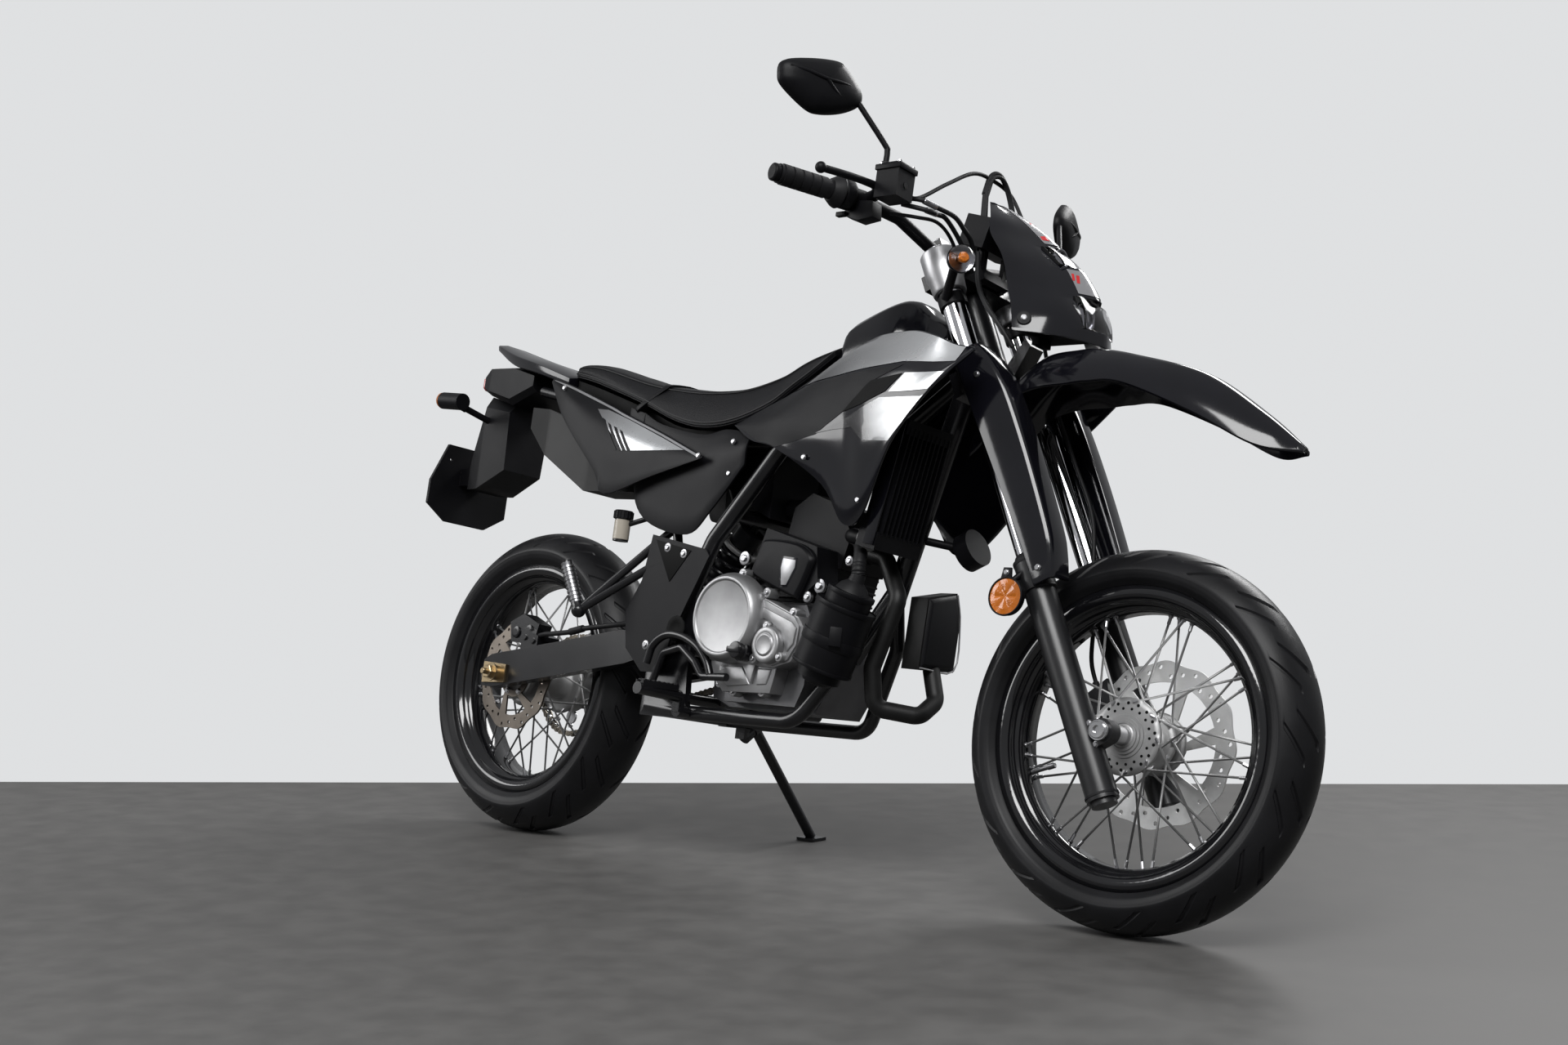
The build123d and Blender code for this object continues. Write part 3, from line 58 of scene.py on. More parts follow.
def bike_matrix(wheel_joint, anchor, anchor_row):
    """Upright bike in mm to the row in m, from the frame's joints and one point known in both."""
    across_bike = Vector(joints[wheel_joint]["axis"]).normalized()
    up = Vector(joints["steering_axis"]["axis"]).normalized()
    ahead = across_bike.cross(up).normalized()
    x = ahead * cos(RAKE) - up * sin(RAKE)
    z = ahead * sin(RAKE) + up * cos(RAKE)
    turn = Matrix((x, across_bike, z)).transposed()
    place = (turn * MM).to_4x4()
    place.translation = Vector(anchor_row) - turn @ (Vector(anchor) * MM)
    return place


CHASSIS = bike_matrix("rear_wheel_spin", (0, 0, REAR_R), joints["rear_wheel_spin"]["pos_m"])
STEER_FOOT = (WHEELBASE + TRAIL, 0, 0)
STEERED = bike_matrix("front_wheel_spin", STEER_FOOT, CHASSIS @ Vector(STEER_FOOT))
PLACE = {"chassis": CHASSIS, "rear_wheel": CHASSIS, "steering": STEERED, "front_wheel": STEERED}


def fork(n, y, s):
    """A point n ahead of the steering axis, y to the left and s up along it."""
    return Vector((STEER_FOOT[0] + n * cos(RAKE) - s * sin(RAKE), y, n * sin(RAKE) + s * cos(RAKE)))


UP = fork(0, 0, 1) - fork(0, 0, 0)
AHEAD = fork(1, 0, 0) - fork(0, 0, 0)


# Materials
def add_node(tree, kind, **inputs):
    node = tree.nodes.new("ShaderNode" + kind)
    for key, value in inputs.items():
        node.inputs[key.replace("_", " ")].default_value = value
    return node


def link(tree, source, output, target, socket):
    tree.links.new(source.outputs[output], target.inputs[socket])


MOTTLE_SCALE, GRAIN_DEPTH, FILM_GRAIN = 14.0, 0.0004, 2200


def finish(name, slot, colour, rough, metallic=0.0, spread=0.15, grain=0.0, grain_scale=900.0, coat=0.0,
           cells=False, **extra):
    """A procedural finish, whose slot is not used: mottled colour and roughness over noise, and a fine bump.
    """
    m = bpy.data.materials.new(name)
    m.use_nodes = True
    tree = m.node_tree
    shader = tree.nodes["Principled BSDF"]
    extra.update({"Metallic": metallic, "Coat Weight": coat, "Coat Roughness": 0.04})
    for key, value in extra.items():
        shader.inputs[key.replace("_", " ")].default_value = value
    where = add_node(tree, "TexCoord")
    noise = add_node(tree, "TexNoise", Scale=MOTTLE_SCALE, Detail=6.0)
    ramp = add_node(tree, "ValToRGB")
    for i, way in enumerate((-1, 1)):
        ramp.color_ramp.elements[i].position = 0.35 + 0.3 * i
        ramp.color_ramp.elements[i].color = [max(0.0, c * (1 + way * spread)) for c in colour] + [1.0]
    gloss = add_node(tree, "MapRange", To_Min=rough * 0.85, To_Max=min(1.0, rough * 1.2))
    link(tree, where, "Object", noise, "Vector")
    link(tree, noise, "Fac", ramp, "Fac")
    link(tree, ramp, "Color", shader, "Base Color")
    link(tree, noise, "Fac", gloss, "Value")
    link(tree, gloss, "Result", shader, "Roughness")
    if grain:
        fine = add_node(tree, "TexVoronoi" if cells else "TexNoise", Scale=grain_scale)
        bump = add_node(tree, "Bump", Strength=grain, Distance=GRAIN_DEPTH)
        link(tree, where, "Object", fine, "Vector")
        link(tree, fine, "Distance" if cells else "Fac", bump, "Height")
        link(tree, bump, "Normal", shader, "Normal")
    return m


GLOSS = finish("gloss_black_plastic", "gloss_black", (0.004, 0.004, 0.006), 0.10, grain=0.03, grain_scale=160)
SATIN = finish("satin_black_plastic", "satin_black", (0.004, 0.004, 0.005), 0.42, grain=0.15,
               grain_scale=2600, cells=True, Specular_IOR_Level=0.16)
# Painted shade: a darker, duller black laid where shade falls, in holes, recesses, lamp housings and under
# the seat
SHADE_BLACK = finish("shadowed_black_plastic", "satin_black", (0.003, 0.003, 0.003), 0.6, grain=0.1,
              Specular_IOR_Level=0.12)
FRAME = finish("frame_black_paint", "frame_black", (0.006, 0.006, 0.007), 0.22, grain=0.08, grain_scale=400)
SLIDER = finish("slider_black_anodised", "frame_black", (0.010, 0.010, 0.011), 0.32, grain=0.06)
RIM = finish("rim_black_anodised", "frame_black", (0.005, 0.005, 0.006), 0.12, coat=0.4, grain=0.04)
EXHAUST = finish("exhaust_black_paint", "frame_black", (0.006, 0.006, 0.006), 0.46, spread=0.4, grain=0.35,
                 grain_scale=1300, Specular_IOR_Level=0.3)
SILVER = finish("engine_silver_paint", "engine_silver", (0.33, 0.33, 0.335), 0.36, metallic=0.75, grain=0.25,
                grain_scale=1500)
# Painted shade: the crankcase's silver-grey is darkened to stand in for the shadow that the canister and
# exhaust cast on it
SHADED_CASE = finish("crankcase_grey_with_painted_shade", "engine_silver", (0.13, 0.13, 0.135), 0.45, metallic=0.6, grain=0.3,
              grain_scale=1300)
CAST = finish("cast_aluminium", "engine_silver", (0.40, 0.40, 0.40), 0.48, metallic=0.85, grain=0.5)
CLAMP = finish("clamp_silver_paint", "engine_silver", (0.42, 0.42, 0.43), 0.34, metallic=0.7, grain=0.25,
               grain_scale=1200)
STEEL = finish("bright_steel", "steel", (0.62, 0.62, 0.63), 0.20, metallic=1.0, grain=0.08, grain_scale=600)
BOLT = finish("zinc_bolt_steel", "steel", (0.34, 0.34, 0.35), 0.30, metallic=1.0, grain=0.1, grain_scale=600)
DISC = finish("ground_steel_disc", "steel", (0.88, 0.88, 0.87), 0.34, metallic=1.0, grain=0.25,
              grain_scale=420)
BRONZE = finish("browned_steel_disc", "steel", (0.20, 0.175, 0.15), 0.36, metallic=1.0, grain=0.25,
                grain_scale=420)
ZINC = finish("yellow_zinc_steel", "steel", (0.46, 0.36, 0.22), 0.34, metallic=1.0, spread=0.3, grain=0.2)
CHAIN = finish("oiled_chain_steel", "steel", (0.20, 0.18, 0.15), 0.36, metallic=1.0, spread=0.4, grain=0.2)
CHROME = finish("chrome", "chrome", (0.82, 0.82, 0.84), 0.06, metallic=1.0, spread=0.02, grain=0.02)
MIRROR = finish("mirror_glass", "chrome", (0.80, 0.82, 0.84), 0.02, metallic=1.0, spread=0.02)
BOWL = finish("lamp_reflector", "chrome", (0.30, 0.30, 0.32), 0.16, metallic=1.0, spread=0.1, grain=0.2,
              grain_scale=300)
TYRE = finish("tyre_rubber", "tyre", (0.006, 0.006, 0.007), 0.42, spread=0.3, grain=0.3, grain_scale=700,
              Specular_IOR_Level=0.26)
RUBBER = finish("black_rubber", "rubber", (0.006, 0.006, 0.007), 0.55, spread=0.25, grain=0.3,
                grain_scale=1100, Specular_IOR_Level=0.28)
VINYL = finish("seat_vinyl", "seat_vinyl", (0.005, 0.005, 0.006), 0.44, grain=0.9, grain_scale=620,
               cells=True, Specular_IOR_Level=0.18)
STITCH = finish("stitching", "seat_vinyl", (0.02, 0.02, 0.021), 0.6, grain=0.5)
LENS = finish("clear_lens", "lamp_lens", (0.95, 0.95, 0.96), 0.03, spread=0.01, Transmission_Weight=1.0,
              IOR=1.22)
FLUID = finish("milky_fluid_pot", "lamp_lens", (0.55, 0.50, 0.42), 0.25, spread=0.1, Transmission_Weight=0.35)
AMBER = finish("amber_lens", "amber_lens", (0.46, 0.12, 0.004), 0.18, spread=0.35, coat=0.6, grain=0.8,
               grain_scale=380, cells=True)
RED = finish("red_lens", "rear_lens", (0.42, 0.008, 0.008), 0.12, spread=0.3, coat=0.8, grain=0.6,
             grain_scale=380, cells=True)
ACCENT = finish("red_film", "rear_lens", (0.50, 0.012, 0.014), 0.25, coat=0.5, grain=0.05)


def fade(name, near, far, start, end):
    """A metallic film whose colour runs from near to far between two points of the chassis."""
    m = finish(name, "engine_silver", near, 0.26, metallic=0.55, coat=0.6, grain=0.12, grain_scale=FILM_GRAIN)
    tree = m.node_tree
    start, end = CHASSIS @ Vector(start), CHASSIS @ Vector(end)
    way = (end - start) / (end - start).length_squared
    spot = add_node(tree, "VectorMath")
    spot.operation = "DOT_PRODUCT"
    spot.inputs[1].default_value = way
    span = add_node(tree, "MapRange", From_Min=start.dot(way), From_Max=start.dot(way) + 1.0)
    ramp = add_node(tree, "ValToRGB")
    for i, colour in enumerate((near, far)):
        ramp.color_ramp.elements[i].color = (*colour, 1.0)
    link(tree, add_node(tree, "TexCoord"), "Object", spot, 0)
    link(tree, spot, "Value", span, "Value")
    link(tree, span, "Result", ramp, "Fac")
    link(tree, ramp, "Color", tree.nodes["Principled BSDF"], "Base Color")
    return m


# Shapes
def across(direction):
    """Two unit vectors square to a direction."""
    d = Vector(direction).normalized()
    side = d.cross(Vector(UPWARD) if abs(d.z) < 0.9 else Vector(FORWARD)).normalized()
    return side, d.cross(side)


def between(a, b, c, d, steps):
    """Points from b towards c on the smooth curve that also passes a and d."""
    for k in range(steps):
        t = k / steps
        yield 0.5 * (2 * b + (c - a) * t + (2 * a - 5 * b + 4 * c - d) * t ** 2
                     + (3 * b - a - 3 * c + d) * t ** 3)


def smooth_line(points, steps):
    """A curve through the points, with some steps between each two."""
    p = [Vector(q) for q in points]
    p = [p[0] * 2 - p[1]] + p + [p[-1] * 2 - p[-2]]
    return [q for i in range(len(p) - 3) for q in between(*p[i:i + 4], steps)] + [p[-2]]


def closed_line(points, steps):
    """A smooth closed curve through the points."""
    n = len(points)
    p = [Vector(q) for q in points]
    return [q for i in range(n) for q in between(*(p[(i + k) % n] for k in (-1, 0, 1, 2)), steps)]


def circle(x, z, r, n=20, turn=0.0):
    """Points round a circle, turned by a share of one step."""
    angles = [2 * pi * (k + turn) / n for k in range(n)]
    return [(x + r * cos(a), z + r * sin(a)) for a in angles]


def grid(rows, steps, columns=1):
    """Rows of points made smooth along the rows' order, and each row divided if columns is over 1."""
    lines = [smooth_line(line, steps) for line in zip(*rows)]
    rows = [list(row) for row in zip(*lines)]
    return [smooth_line(row, columns) for row in rows] if columns > 1 else rows


def side_rows(rows, side):
    return [[(x, side * y, z) for y, z in points] for x, points in rows]


def mirrored(half):
    """The right half of an outline from its points on the left, and the left half back."""
    back = half[-2::-1] if half[-1][1] == 0 else half[::-1]
    return [Vector((x, -y, z)) for x, y, z in half] + [Vector(p) for p in back]


class Form:
    """Vertices and faces in millimetres of the upright bike."""

    def __init__(self, *parts):
        self.verts = []
        self.faces = []
        for part in parts:
            self.add(part.verts, part.faces)

    def add(self, verts, faces):
        base = len(self.verts)
        self.verts += [Vector(v) for v in verts]
        self.faces += [[i + base for i in f] for f in faces]
        return self

    def rings(self, rings, loop=False):
        """Joins rings of equally many points, closed at both ends or to a loop."""
        n = len(rings[0])
        faces = []
        for i in range(len(rings) - (not loop)):
            a, b = i * n, (i + 1) % len(rings) * n
            faces += [[a + k, a + (k + 1) % n, b + (k + 1) % n, b + k] for k in range(n)]
        if not loop:
            faces += [list(range(n))[::-1], [(len(rings) - 1) * n + k for k in range(n)]]
        return self.add([v for ring in rings for v in ring], faces)

    def turned(self, profile, start, direction, n=32, loop=False):
        """A profile of (distance along, radius) turned about a direction."""
        d = Vector(direction).normalized()
        u, v = across(d)
        ways = [u * c + v * s for c, s in circle(0, 0, 1, n)]
        rings = [[Vector(start) + d * t + way * max(r, 0.01) for way in ways] for t, r in profile]
        return self.rings(rings, loop)

    def turns(self, profile, spots, direction, n=32, loop=False):
        for at in spots:
            self.turned(profile, at, direction, n, loop)
        return self

    def rod(self, start, end, r, n=20, edge=0.0):
        a, b = Vector(start), Vector(end)
        length = (b - a).length
        rounded = [(0, r - edge), (edge, r), (length - edge, r), (length, r - edge)]
        return self.turned(rounded if edge else [(0, r), (length, r)], a, b - a, n)

    def tube(self, points, r, n=12, steps=6, ribs=0.0):
        """A round tube on a smooth line, ribbed if ribs is the ribs' height."""
        line = smooth_line(points, steps)
        u = None
        rings = []
        for i, p in enumerate(line):
            d = (line[min(i + 1, len(line) - 1)] - line[max(i - 1, 0)]).normalized()
            u = across(d)[0] if u is None else (u - d * u.dot(d)).normalized()
            w = d.cross(u)
            size = r + ribs * (i % 2)
            rings.append([p + (u * c + w * s) * size for c, s in circle(0, 0, 1, n)])
        return self.rings(rings)

    def block(self, x, y, z):
        return self.plate([(x[0], z[0]), (x[1], z[0]), (x[1], z[1]), (x[0], z[1])], *y)

    def plate(self, outline, y0, y1, shrink=0.0):
        """A side-view outline of (x, z) between two y planes, drawn in by shrink at its second face."""
        cx = sum(x for x, _ in outline) / len(outline)
        cz = sum(z for _, z in outline) / len(outline)
        k = 1 - shrink / max(hypot(x - cx, z - cz) for x, z in outline)
        return self.rings([[(x, y0, z) for x, z in outline],
                           [(x, y1, z) for x, z in scaled(outline, cx, cz, k)]])

    def ball(self, centre, r, n=14):
        profile = [(r - r * cos(pi * i / n), r * sin(pi * i / n)) for i in range(n + 1)]
        return self.turned(profile, Vector(centre) - Vector((0, 0, r)), UPWARD, n * 2)

    def bolts(self, spots, direction, r):
        """Domed socket screws whose heads stand out along a direction."""
        h = r * 0.75
        head = [(-1.5, r * 1.25), (0.5, r * 1.25), (0.8, r), (h * 0.8, r), (h, r * 0.8), (h, r * 0.45)]
        socket = [(h + 0.05, r * 0.45), (h - r * 0.35, r * 0.42), (h - r * 0.36, 0.01)]
        return self.turns(head, spots, direction, 20).turns(socket, spots, direction, 6)

    def nut(self, at, direction, r, h):
        return self.turned([(0, r), (h * 0.85, r), (h, r * 0.88)], at, direction, 6)


def scaled(outline, cx, cz, k):
    """An outline made k times as large about (cx, cz)."""
    return [(cx + (x - cx) * k, cz + (z - cz) * k) for x, z in outline]


def edge_modifier(obj, width, angle):
    edge = obj.modifiers.new("edges", "BEVEL")
    edge.width = width
    edge.segments = 2
    edge.limit_method = "ANGLE"
    edge.angle_limit = radians(angle)
    return edge


def baked(obj):
    view = bpy.context.evaluated_depsgraph_get()
    view.update()
    return bpy.data.meshes.new_from_object(obj.evaluated_get(view))


def mesh_from(name, form, body, angle=32.0, bevel=0.0, wall=0.0, cuts=None):
    """The form as an object in the row frame, with thickness, cuts and rounded edges if asked."""
    mesh = bpy.data.meshes.new(name)
    mesh.from_pydata(form.verts, [], form.faces)
    mesh.update()
    obj = bpy.data.objects.new(name, mesh)
    scene.collection.objects.link(obj)
    bm = bmesh.new()
    bm.from_mesh(mesh)
    bmesh.ops.remove_doubles(bm, verts=bm.verts, dist=0.005)
    bmesh.ops.recalc_face_normals(bm, faces=bm.faces)
    bm.to_mesh(mesh)
    bm.free()
    if wall:
        thick = obj.modifiers.new("wall", "SOLIDIFY")
        thick.thickness = wall
        thick.offset = -1
    if cuts:
        tool = mesh_from(name + "_cut", cuts, "chassis")
        tool.data.transform(CHASSIS.inverted())
        obj.modifiers.new("cut", "BOOLEAN").object = tool
    if bevel:
        edge_modifier(obj, bevel, 35)
    if wall or bevel or cuts:
        mesh = baked(obj)
        obj.modifiers.clear()
        obj.data = mesh
        mesh.name = name
    if cuts:
        bpy.data.objects.remove(tool)
    mesh.transform(PLACE[body])
    mesh.shade_smooth()
    mesh.set_sharp_from_angle(angle=radians(angle))
    return obj


def piece(name, form, material, nodes=(), body="chassis", slot=None, **how):
    """A finished piece that rides on a body and may stand for CAD nodes."""
    obj = mesh_from(name, form, body, **how)
    obj.data.materials.clear()
    obj.data.materials.append(material)
    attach(obj, body)
    if nodes:
        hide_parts(*nodes)
    return obj


def steered(name, form, material, nodes=(), **how):
    return piece(name, form, material, nodes, "steering", **how)


FAR = 400.0


def decal(name, outline, rows, form, side, material, lift=0.6, step=6.0, margin=2.0):
    """A film with a side-view outline of (x, z), laid on the rows' panel and kept inside its edges."""
    far = side * FAR
    tree = BVHTree.FromPolygons(form.verts, form.faces)
    skin = grid(side_rows(rows, 1), 6)
    stations = [(row[0].x, min(p.z for p in row), max(p.z for p in row)) for row in skin]
    bm = bmesh.new()
    bm.faces.new([bm.verts.new((x, far, z)) for x, z in outline])
    for values, normal in zip(zip(*outline), (FORWARD, UPWARD)):
        at = min(values) + step
        while at < max(values):
            everything = bm.verts[:] + bm.edges[:] + bm.faces[:]
            bmesh.ops.bisect_plane(bm, geom=everything, plane_co=Vector(normal) * at, plane_no=normal)
            at += step
    for v in bm.verts:
        x = min(max(v.co.x, stations[0][0] + margin), stations[-1][0] - margin)
        a, b = next((a, b) for a, b in zip(stations, stations[1:]) if a[0] <= x <= b[0])
        t = (x - a[0]) / (b[0] - a[0])
        low, high = a[1] + (b[1] - a[1]) * t, a[2] + (b[2] - a[2]) * t
        z = min(max(v.co.z, low + margin), max(high - margin, low + margin))
        hit = tree.ray_cast(Vector((x, far, z)), Vector((0, -side, 0)))[0]
        v.co = (x, (hit.y if hit else far) + side * lift, z)
    bmesh.ops.remove_doubles(bm, verts=bm.verts, dist=0.05)
    bmesh.ops.triangulate(bm, faces=bm.faces)
    order = {v: i for i, v in enumerate(bm.verts)}
    good = [f for f in bm.faces if all(abs(v.co.y) < FAR - 1 for v in f.verts)]
    film = Form().add([v.co for v in bm.verts], [[order[v] for v in f.verts] for f in good])
    bm.free()
    piece(name, film, material, wall=0.3, angle=60)


def flat_ring(name, loops, centre, thickness, body, material, nodes=()):
    """A plate square to the axle, from an outer loop and holes of (x, z), made by a filled curve."""
    data = bpy.data.curves.new(name, "CURVE")
    data.dimensions = "2D"
    data.fill_mode = "BOTH"
    data.extrude = thickness / 2
    for loop in loops:
        line = data.splines.new("POLY")
        line.points.add(len(loop) - 1)
        for point, (x, z) in zip(line.points, loop):
            point.co = (x, z, 0, 1)
        line.use_cyclic_u = True
    obj = bpy.data.objects.new(name + "_curve", data)
    scene.collection.objects.link(obj)
    mesh = baked(obj)
    bpy.data.objects.remove(obj)
    mesh.transform(Matrix.Translation(centre) @ Matrix.Rotation(pi / 2, 4, "X"))
    form = Form().add([v.co.copy() for v in mesh.vertices], [list(p.vertices) for p in mesh.polygons])
    piece(name, form, material, nodes, body)


# Tyres
FLANGE, WALL_GROOVE = 233.0, 0.7


def tyre(name, node, body, x, radius, half, crown, rim_half, skew, depth=3.4, pitches=17):
    """Tread with curved slashes that follow the mesh's own skewed columns, and ribbed sidewalls."""
    columns = (0.0, 0.035, 0.10, 0.135, 0.25, 0.38, 0.50, 0.535, 0.60, 0.635, 0.76, 0.88)
    slashes = (((1, 2), 0.12, 0.62), ((7, 8), 0.46, 0.90))
    limit = asin(half / crown)
    ends = {a for _, start, end in slashes for a in (round(start - 0.02, 2), start, end,
                                                     round(end + 0.02, 2))}
    shares = sorted({i / 18 for i in range(19)} | ends)
    arc = [(a, way) for way, part in ((-1, shares[::-1]), (1, shares[1:])) for a in part]
    edge_r = radius - crown + crown * cos(limit)
    wall = []
    for k in range(1, 11):
        t = k / 10
        bulge = (half - rim_half) * (1 - t ** 2.2) + rim_half
        wall.append((edge_r + (FLANGE - edge_r) * t, bulge - (WALL_GROOVE if k in (2, 4, 8) else 0.0)))
    bead = [(FLANGE, rim_half - 6.5), (FLANGE, 6.5 - rim_half)]
    rings = []
    for p in range(pitches):
        for c, share in enumerate(columns):
            turn = 2 * pi / pitches * (p + share)
            ring = [(r, -y, turn + skew) for r, y in wall[::-1]]
            for a, way in arc:
                cut = any(c in where and start <= a <= end for where, start, end in slashes)
                sink = depth * (1 - 0.5 * a) if cut else 0.0
                ring.append((radius - crown + crown * cos(limit * a) - sink,
                             way * crown * sin(limit * a) * (1 - sink / crown), turn + skew * a ** 1.35))
            ring += [(r, y, turn + skew) for r, y in wall + bead]
            rings.append([(x + r * cos(angle), y, radius + r * sin(angle)) for r, y, angle in ring])
    piece(name, Form().rings(rings, loop=True), TYRE, (node,), body, angle=38)


tyre("front_tyre_tread", "front_tyre", "front_wheel", WHEELBASE, FRONT_R, 56, 60, 43, 0.34)
tyre("rear_tyre_tread", "rear_tyre", "rear_wheel", 0, REAR_R, 68.5, 75, 56, 0.36)


# Wheels: nipples, valve, discs and their bolts
RIM_R, SPOKE_PAIRS, SPOKE_SWING, VALVE_ANGLE = 199.7, 18, radians(48), radians(200)


def nipples(name, body, x, z, flanges):
    """The spokes' ends at both rims of the hub and at the rim, and the valve."""
    form = Form()
    for flange_r, flange_y, rim_y, phase in flanges:
        for i in range(SPOKE_PAIRS):
            way = 1 if i % 2 else -1
            a = 2 * pi / SPOKE_PAIRS * i + radians(phase)
            b = a + SPOKE_SWING * way
            start = Vector((x + flange_r * cos(a), flange_y + 2.5 * way, z + flange_r * sin(a)))
            end = Vector((x + RIM_R * cos(b), rim_y, z + RIM_R * sin(b)))
            d = (end - start).normalized()
            form.rod(end - d * 17, end - d * 4, 2.9, 8, 0.6)
            form.rod(end - d * 6, end - d * 2, 4.2, 10, 0.6)
            form.rod(start - d * 2, start + d * 6, 2.6, 8, 0.5)
    stem = Vector((cos(VALVE_ANGLE), 0, sin(VALVE_ANGLE)))
    centre = Vector((x, 0, z))
    form.rod(centre + stem * 196, centre + stem * 164, 4, 12, 0.8)
    form.rod(centre + stem * 166, centre + stem * 152, 5, 12, 1.0)
    piece(name, form, BOLT, body=body)


nipples("front_nipples", "front_wheel", WHEELBASE, FRONT_R, [(54, -39.5, -9, 0), (40, 32.5, 9, 10)])
nipples("rear_nipples", "rear_wheel", 0, REAR_R, [(52, -48.5, -11, 0), (57, 47.5, 11, 10)])

# The right face of the front hub: a stepped bearing housing and two rows of lightening holes
HUB_FACE_Y, HUB_HOLES = -45, 18
HUB_STEPS = [(0, 34), (2.2, 33.2), (2.4, 28.6), (4.6, 28), (4.8, 24), (7, 23.2), (7.1, 19.5), (0, 19.5)]
bearing = Form().turned(HUB_STEPS, (WHEELBASE, HUB_FACE_Y + 1.6, FRONT_R), RIGHT, 48, loop=True)
piece("front_hub_bearing", bearing, CAST, body="front_wheel")
hub_holes = Form()
for r, hole, turn in ((51, 2.6, 0.5), (42.5, 2.3, 0)):
    y = HUB_FACE_Y + 0.075 * (r - 20)
    for x, z in circle(WHEELBASE, FRONT_R, r, HUB_HOLES, turn):
        hub_holes.rod((x, y + 0.6, z), (x, y - 0.3, z), hole, 10)
piece("front_hub_holes", hub_holes, SHADE_BLACK, body="front_wheel")


WAVE, DRILL_R, DISC_THICKNESS, SPROCKET_THICKNESS = 2.6, 3.4, 4.0, 5.0


def wave_disc(name, node, body, x, z, y, radius, band, bore, lobes, material, arms=6):
    """A petal disc with drilled ring, windows and bolts round its bore."""
    outer = []
    for c, s in circle(0, 0, 1, lobes * 16):
        r = radius - WAVE + WAVE * cos(lobes * atan2(s, c))
        outer.append((r * c, r * s))
    loops = [outer, circle(0, 0, bore, 48)]
    margin, twist = 0.13, 0.22
    r0, r1 = bore + 13, radius - band
    for i in range(arms):
        a0, a1 = 2 * pi / arms * i + margin, 2 * pi / arms * (i + 1) - margin
        angles = [a0 + (a1 - a0) * k / 8 for k in range(9)]
        loops.append([(r0 * cos(a), r0 * sin(a)) for a in angles]
                     + [(r1 * cos(a + twist), r1 * sin(a + twist)) for a in angles[::-1]])
    for i, (c, s) in enumerate(circle(0, 0, 1, lobes * 3, 0.5)):
        r = radius - band * (0.3, 0.52, 0.72)[i % 3]
        loops.append(circle(r * c, r * s, DRILL_R, 12))
    flat_ring(name, loops, (x, y, z), DISC_THICKNESS, body, material, (node,))
    way = 1 if y > 0 else -1
    spots = [(bx, y + way * 2, bz) for bx, bz in circle(x, z, bore + 6, arms)]
    piece(name + "_bolts", Form().bolts(spots, (0, way, 0), 5), STEEL, body=body)


wave_disc("front_brake_disc", "front_disc", "front_wheel", WHEELBASE, FRONT_R, 62.3, 132, 34, 34, 12, DISC)
wave_disc("rear_brake_disc", "rear_disc", "rear_wheel", 0, REAR_R, -77.3, 110, 30, 30, 10, BRONZE)


# Chain
CHAIN_Y, PITCH = 84.0, 12.7
REAR_TEETH, FRONT_TEETH = 50, 14
LINK_R, LINK_WAIST = 5.6, 3.9
INNER_PLATES, OUTER_PLATES = (4.8, 6.4), (6.8, 8.4)
# Half length, radius and sides
PIN, ROLLER = (9.2, 2.2, 8), (4.4, 4.0, 10)


def pitch_radius(teeth):
    return PITCH / (2 * sin(pi / teeth))


def chain_line():
    """Points one pitch apart along the chain: top run, front sprocket, bottom run, rear sprocket."""
    big, small = pitch_radius(REAR_TEETH), pitch_radius(FRONT_TEETH)
    rear, front = Vector((0, REAR_R)), Vector(SPROCKET)
    reach = (front - rear).length
    slope = atan2(front.y - rear.y, front.x)
    opening = acos((big - small) / reach)
    up, down = slope + opening, slope - opening
    run = sqrt(reach ** 2 - (big - small) ** 2)
    front_end = run + small * 2 * opening
    whole = front_end + run + big * 2 * (pi - opening)
    count = 2 * round(whole / PITCH / 2)

    def spot(centre, r, angle):
        return centre + Vector((cos(angle), sin(angle))) * r

    points = []
    for i in range(count):
        t = whole * i / count
        if t <= run:
            points.append(spot(rear, big, up).lerp(spot(front, small, up), t / run))
        elif t <= front_end:
            points.append(spot(front, small, up - (t - run) / small))
        elif t <= front_end + run:
            points.append(spot(front, small, down).lerp(spot(rear, big, down), (t - front_end) / run))
        else:
            points.append(spot(rear, big, down - (t - front_end - run) / big))
    return points


def chain_links():
    form = Form()
    points = chain_line()
    for i, a in enumerate(points):
        b = points[(i + 1) % len(points)]
        d = (b - a).normalized()
        out = Vector((-d.y, d.x))
        outline = []
        for end, way in ((b, 1), (a, -1)):
            for k in range(7):
                t = -pi / 2 + pi * k / 6
                outline.append(end + d * (way * LINK_R * cos(t)) + out * (way * LINK_R * sin(t)))
            outline.append((a + b) / 2 + out * (way * LINK_WAIST))
        low, high = INNER_PLATES if i % 2 else OUTER_PLATES
        for side in SIDES:
            form.plate([tuple(p) for p in outline], CHAIN_Y + side * low, CHAIN_Y + side * high)
        for half, r, n in (PIN, ROLLER):
            form.rod((a.x, CHAIN_Y - half, a.y), (a.x, CHAIN_Y + half, a.y), r, n)
    return form


def teeth_outline(teeth, root_drop=4.6, tip_rise=2.6):
    root, tip = pitch_radius(teeth) - root_drop, pitch_radius(teeth) + tip_rise
    step = 2 * pi / teeth
    tooth = ((root, 0.02), (root - 0.6, 0.2), (root, 0.38), (tip - 0.8, 0.6), (tip, 0.7), (tip - 0.8, 0.8))
    return [(r * cos((i + f) * step), r * sin((i + f) * step)) for i in range(teeth) for r, f in tooth]


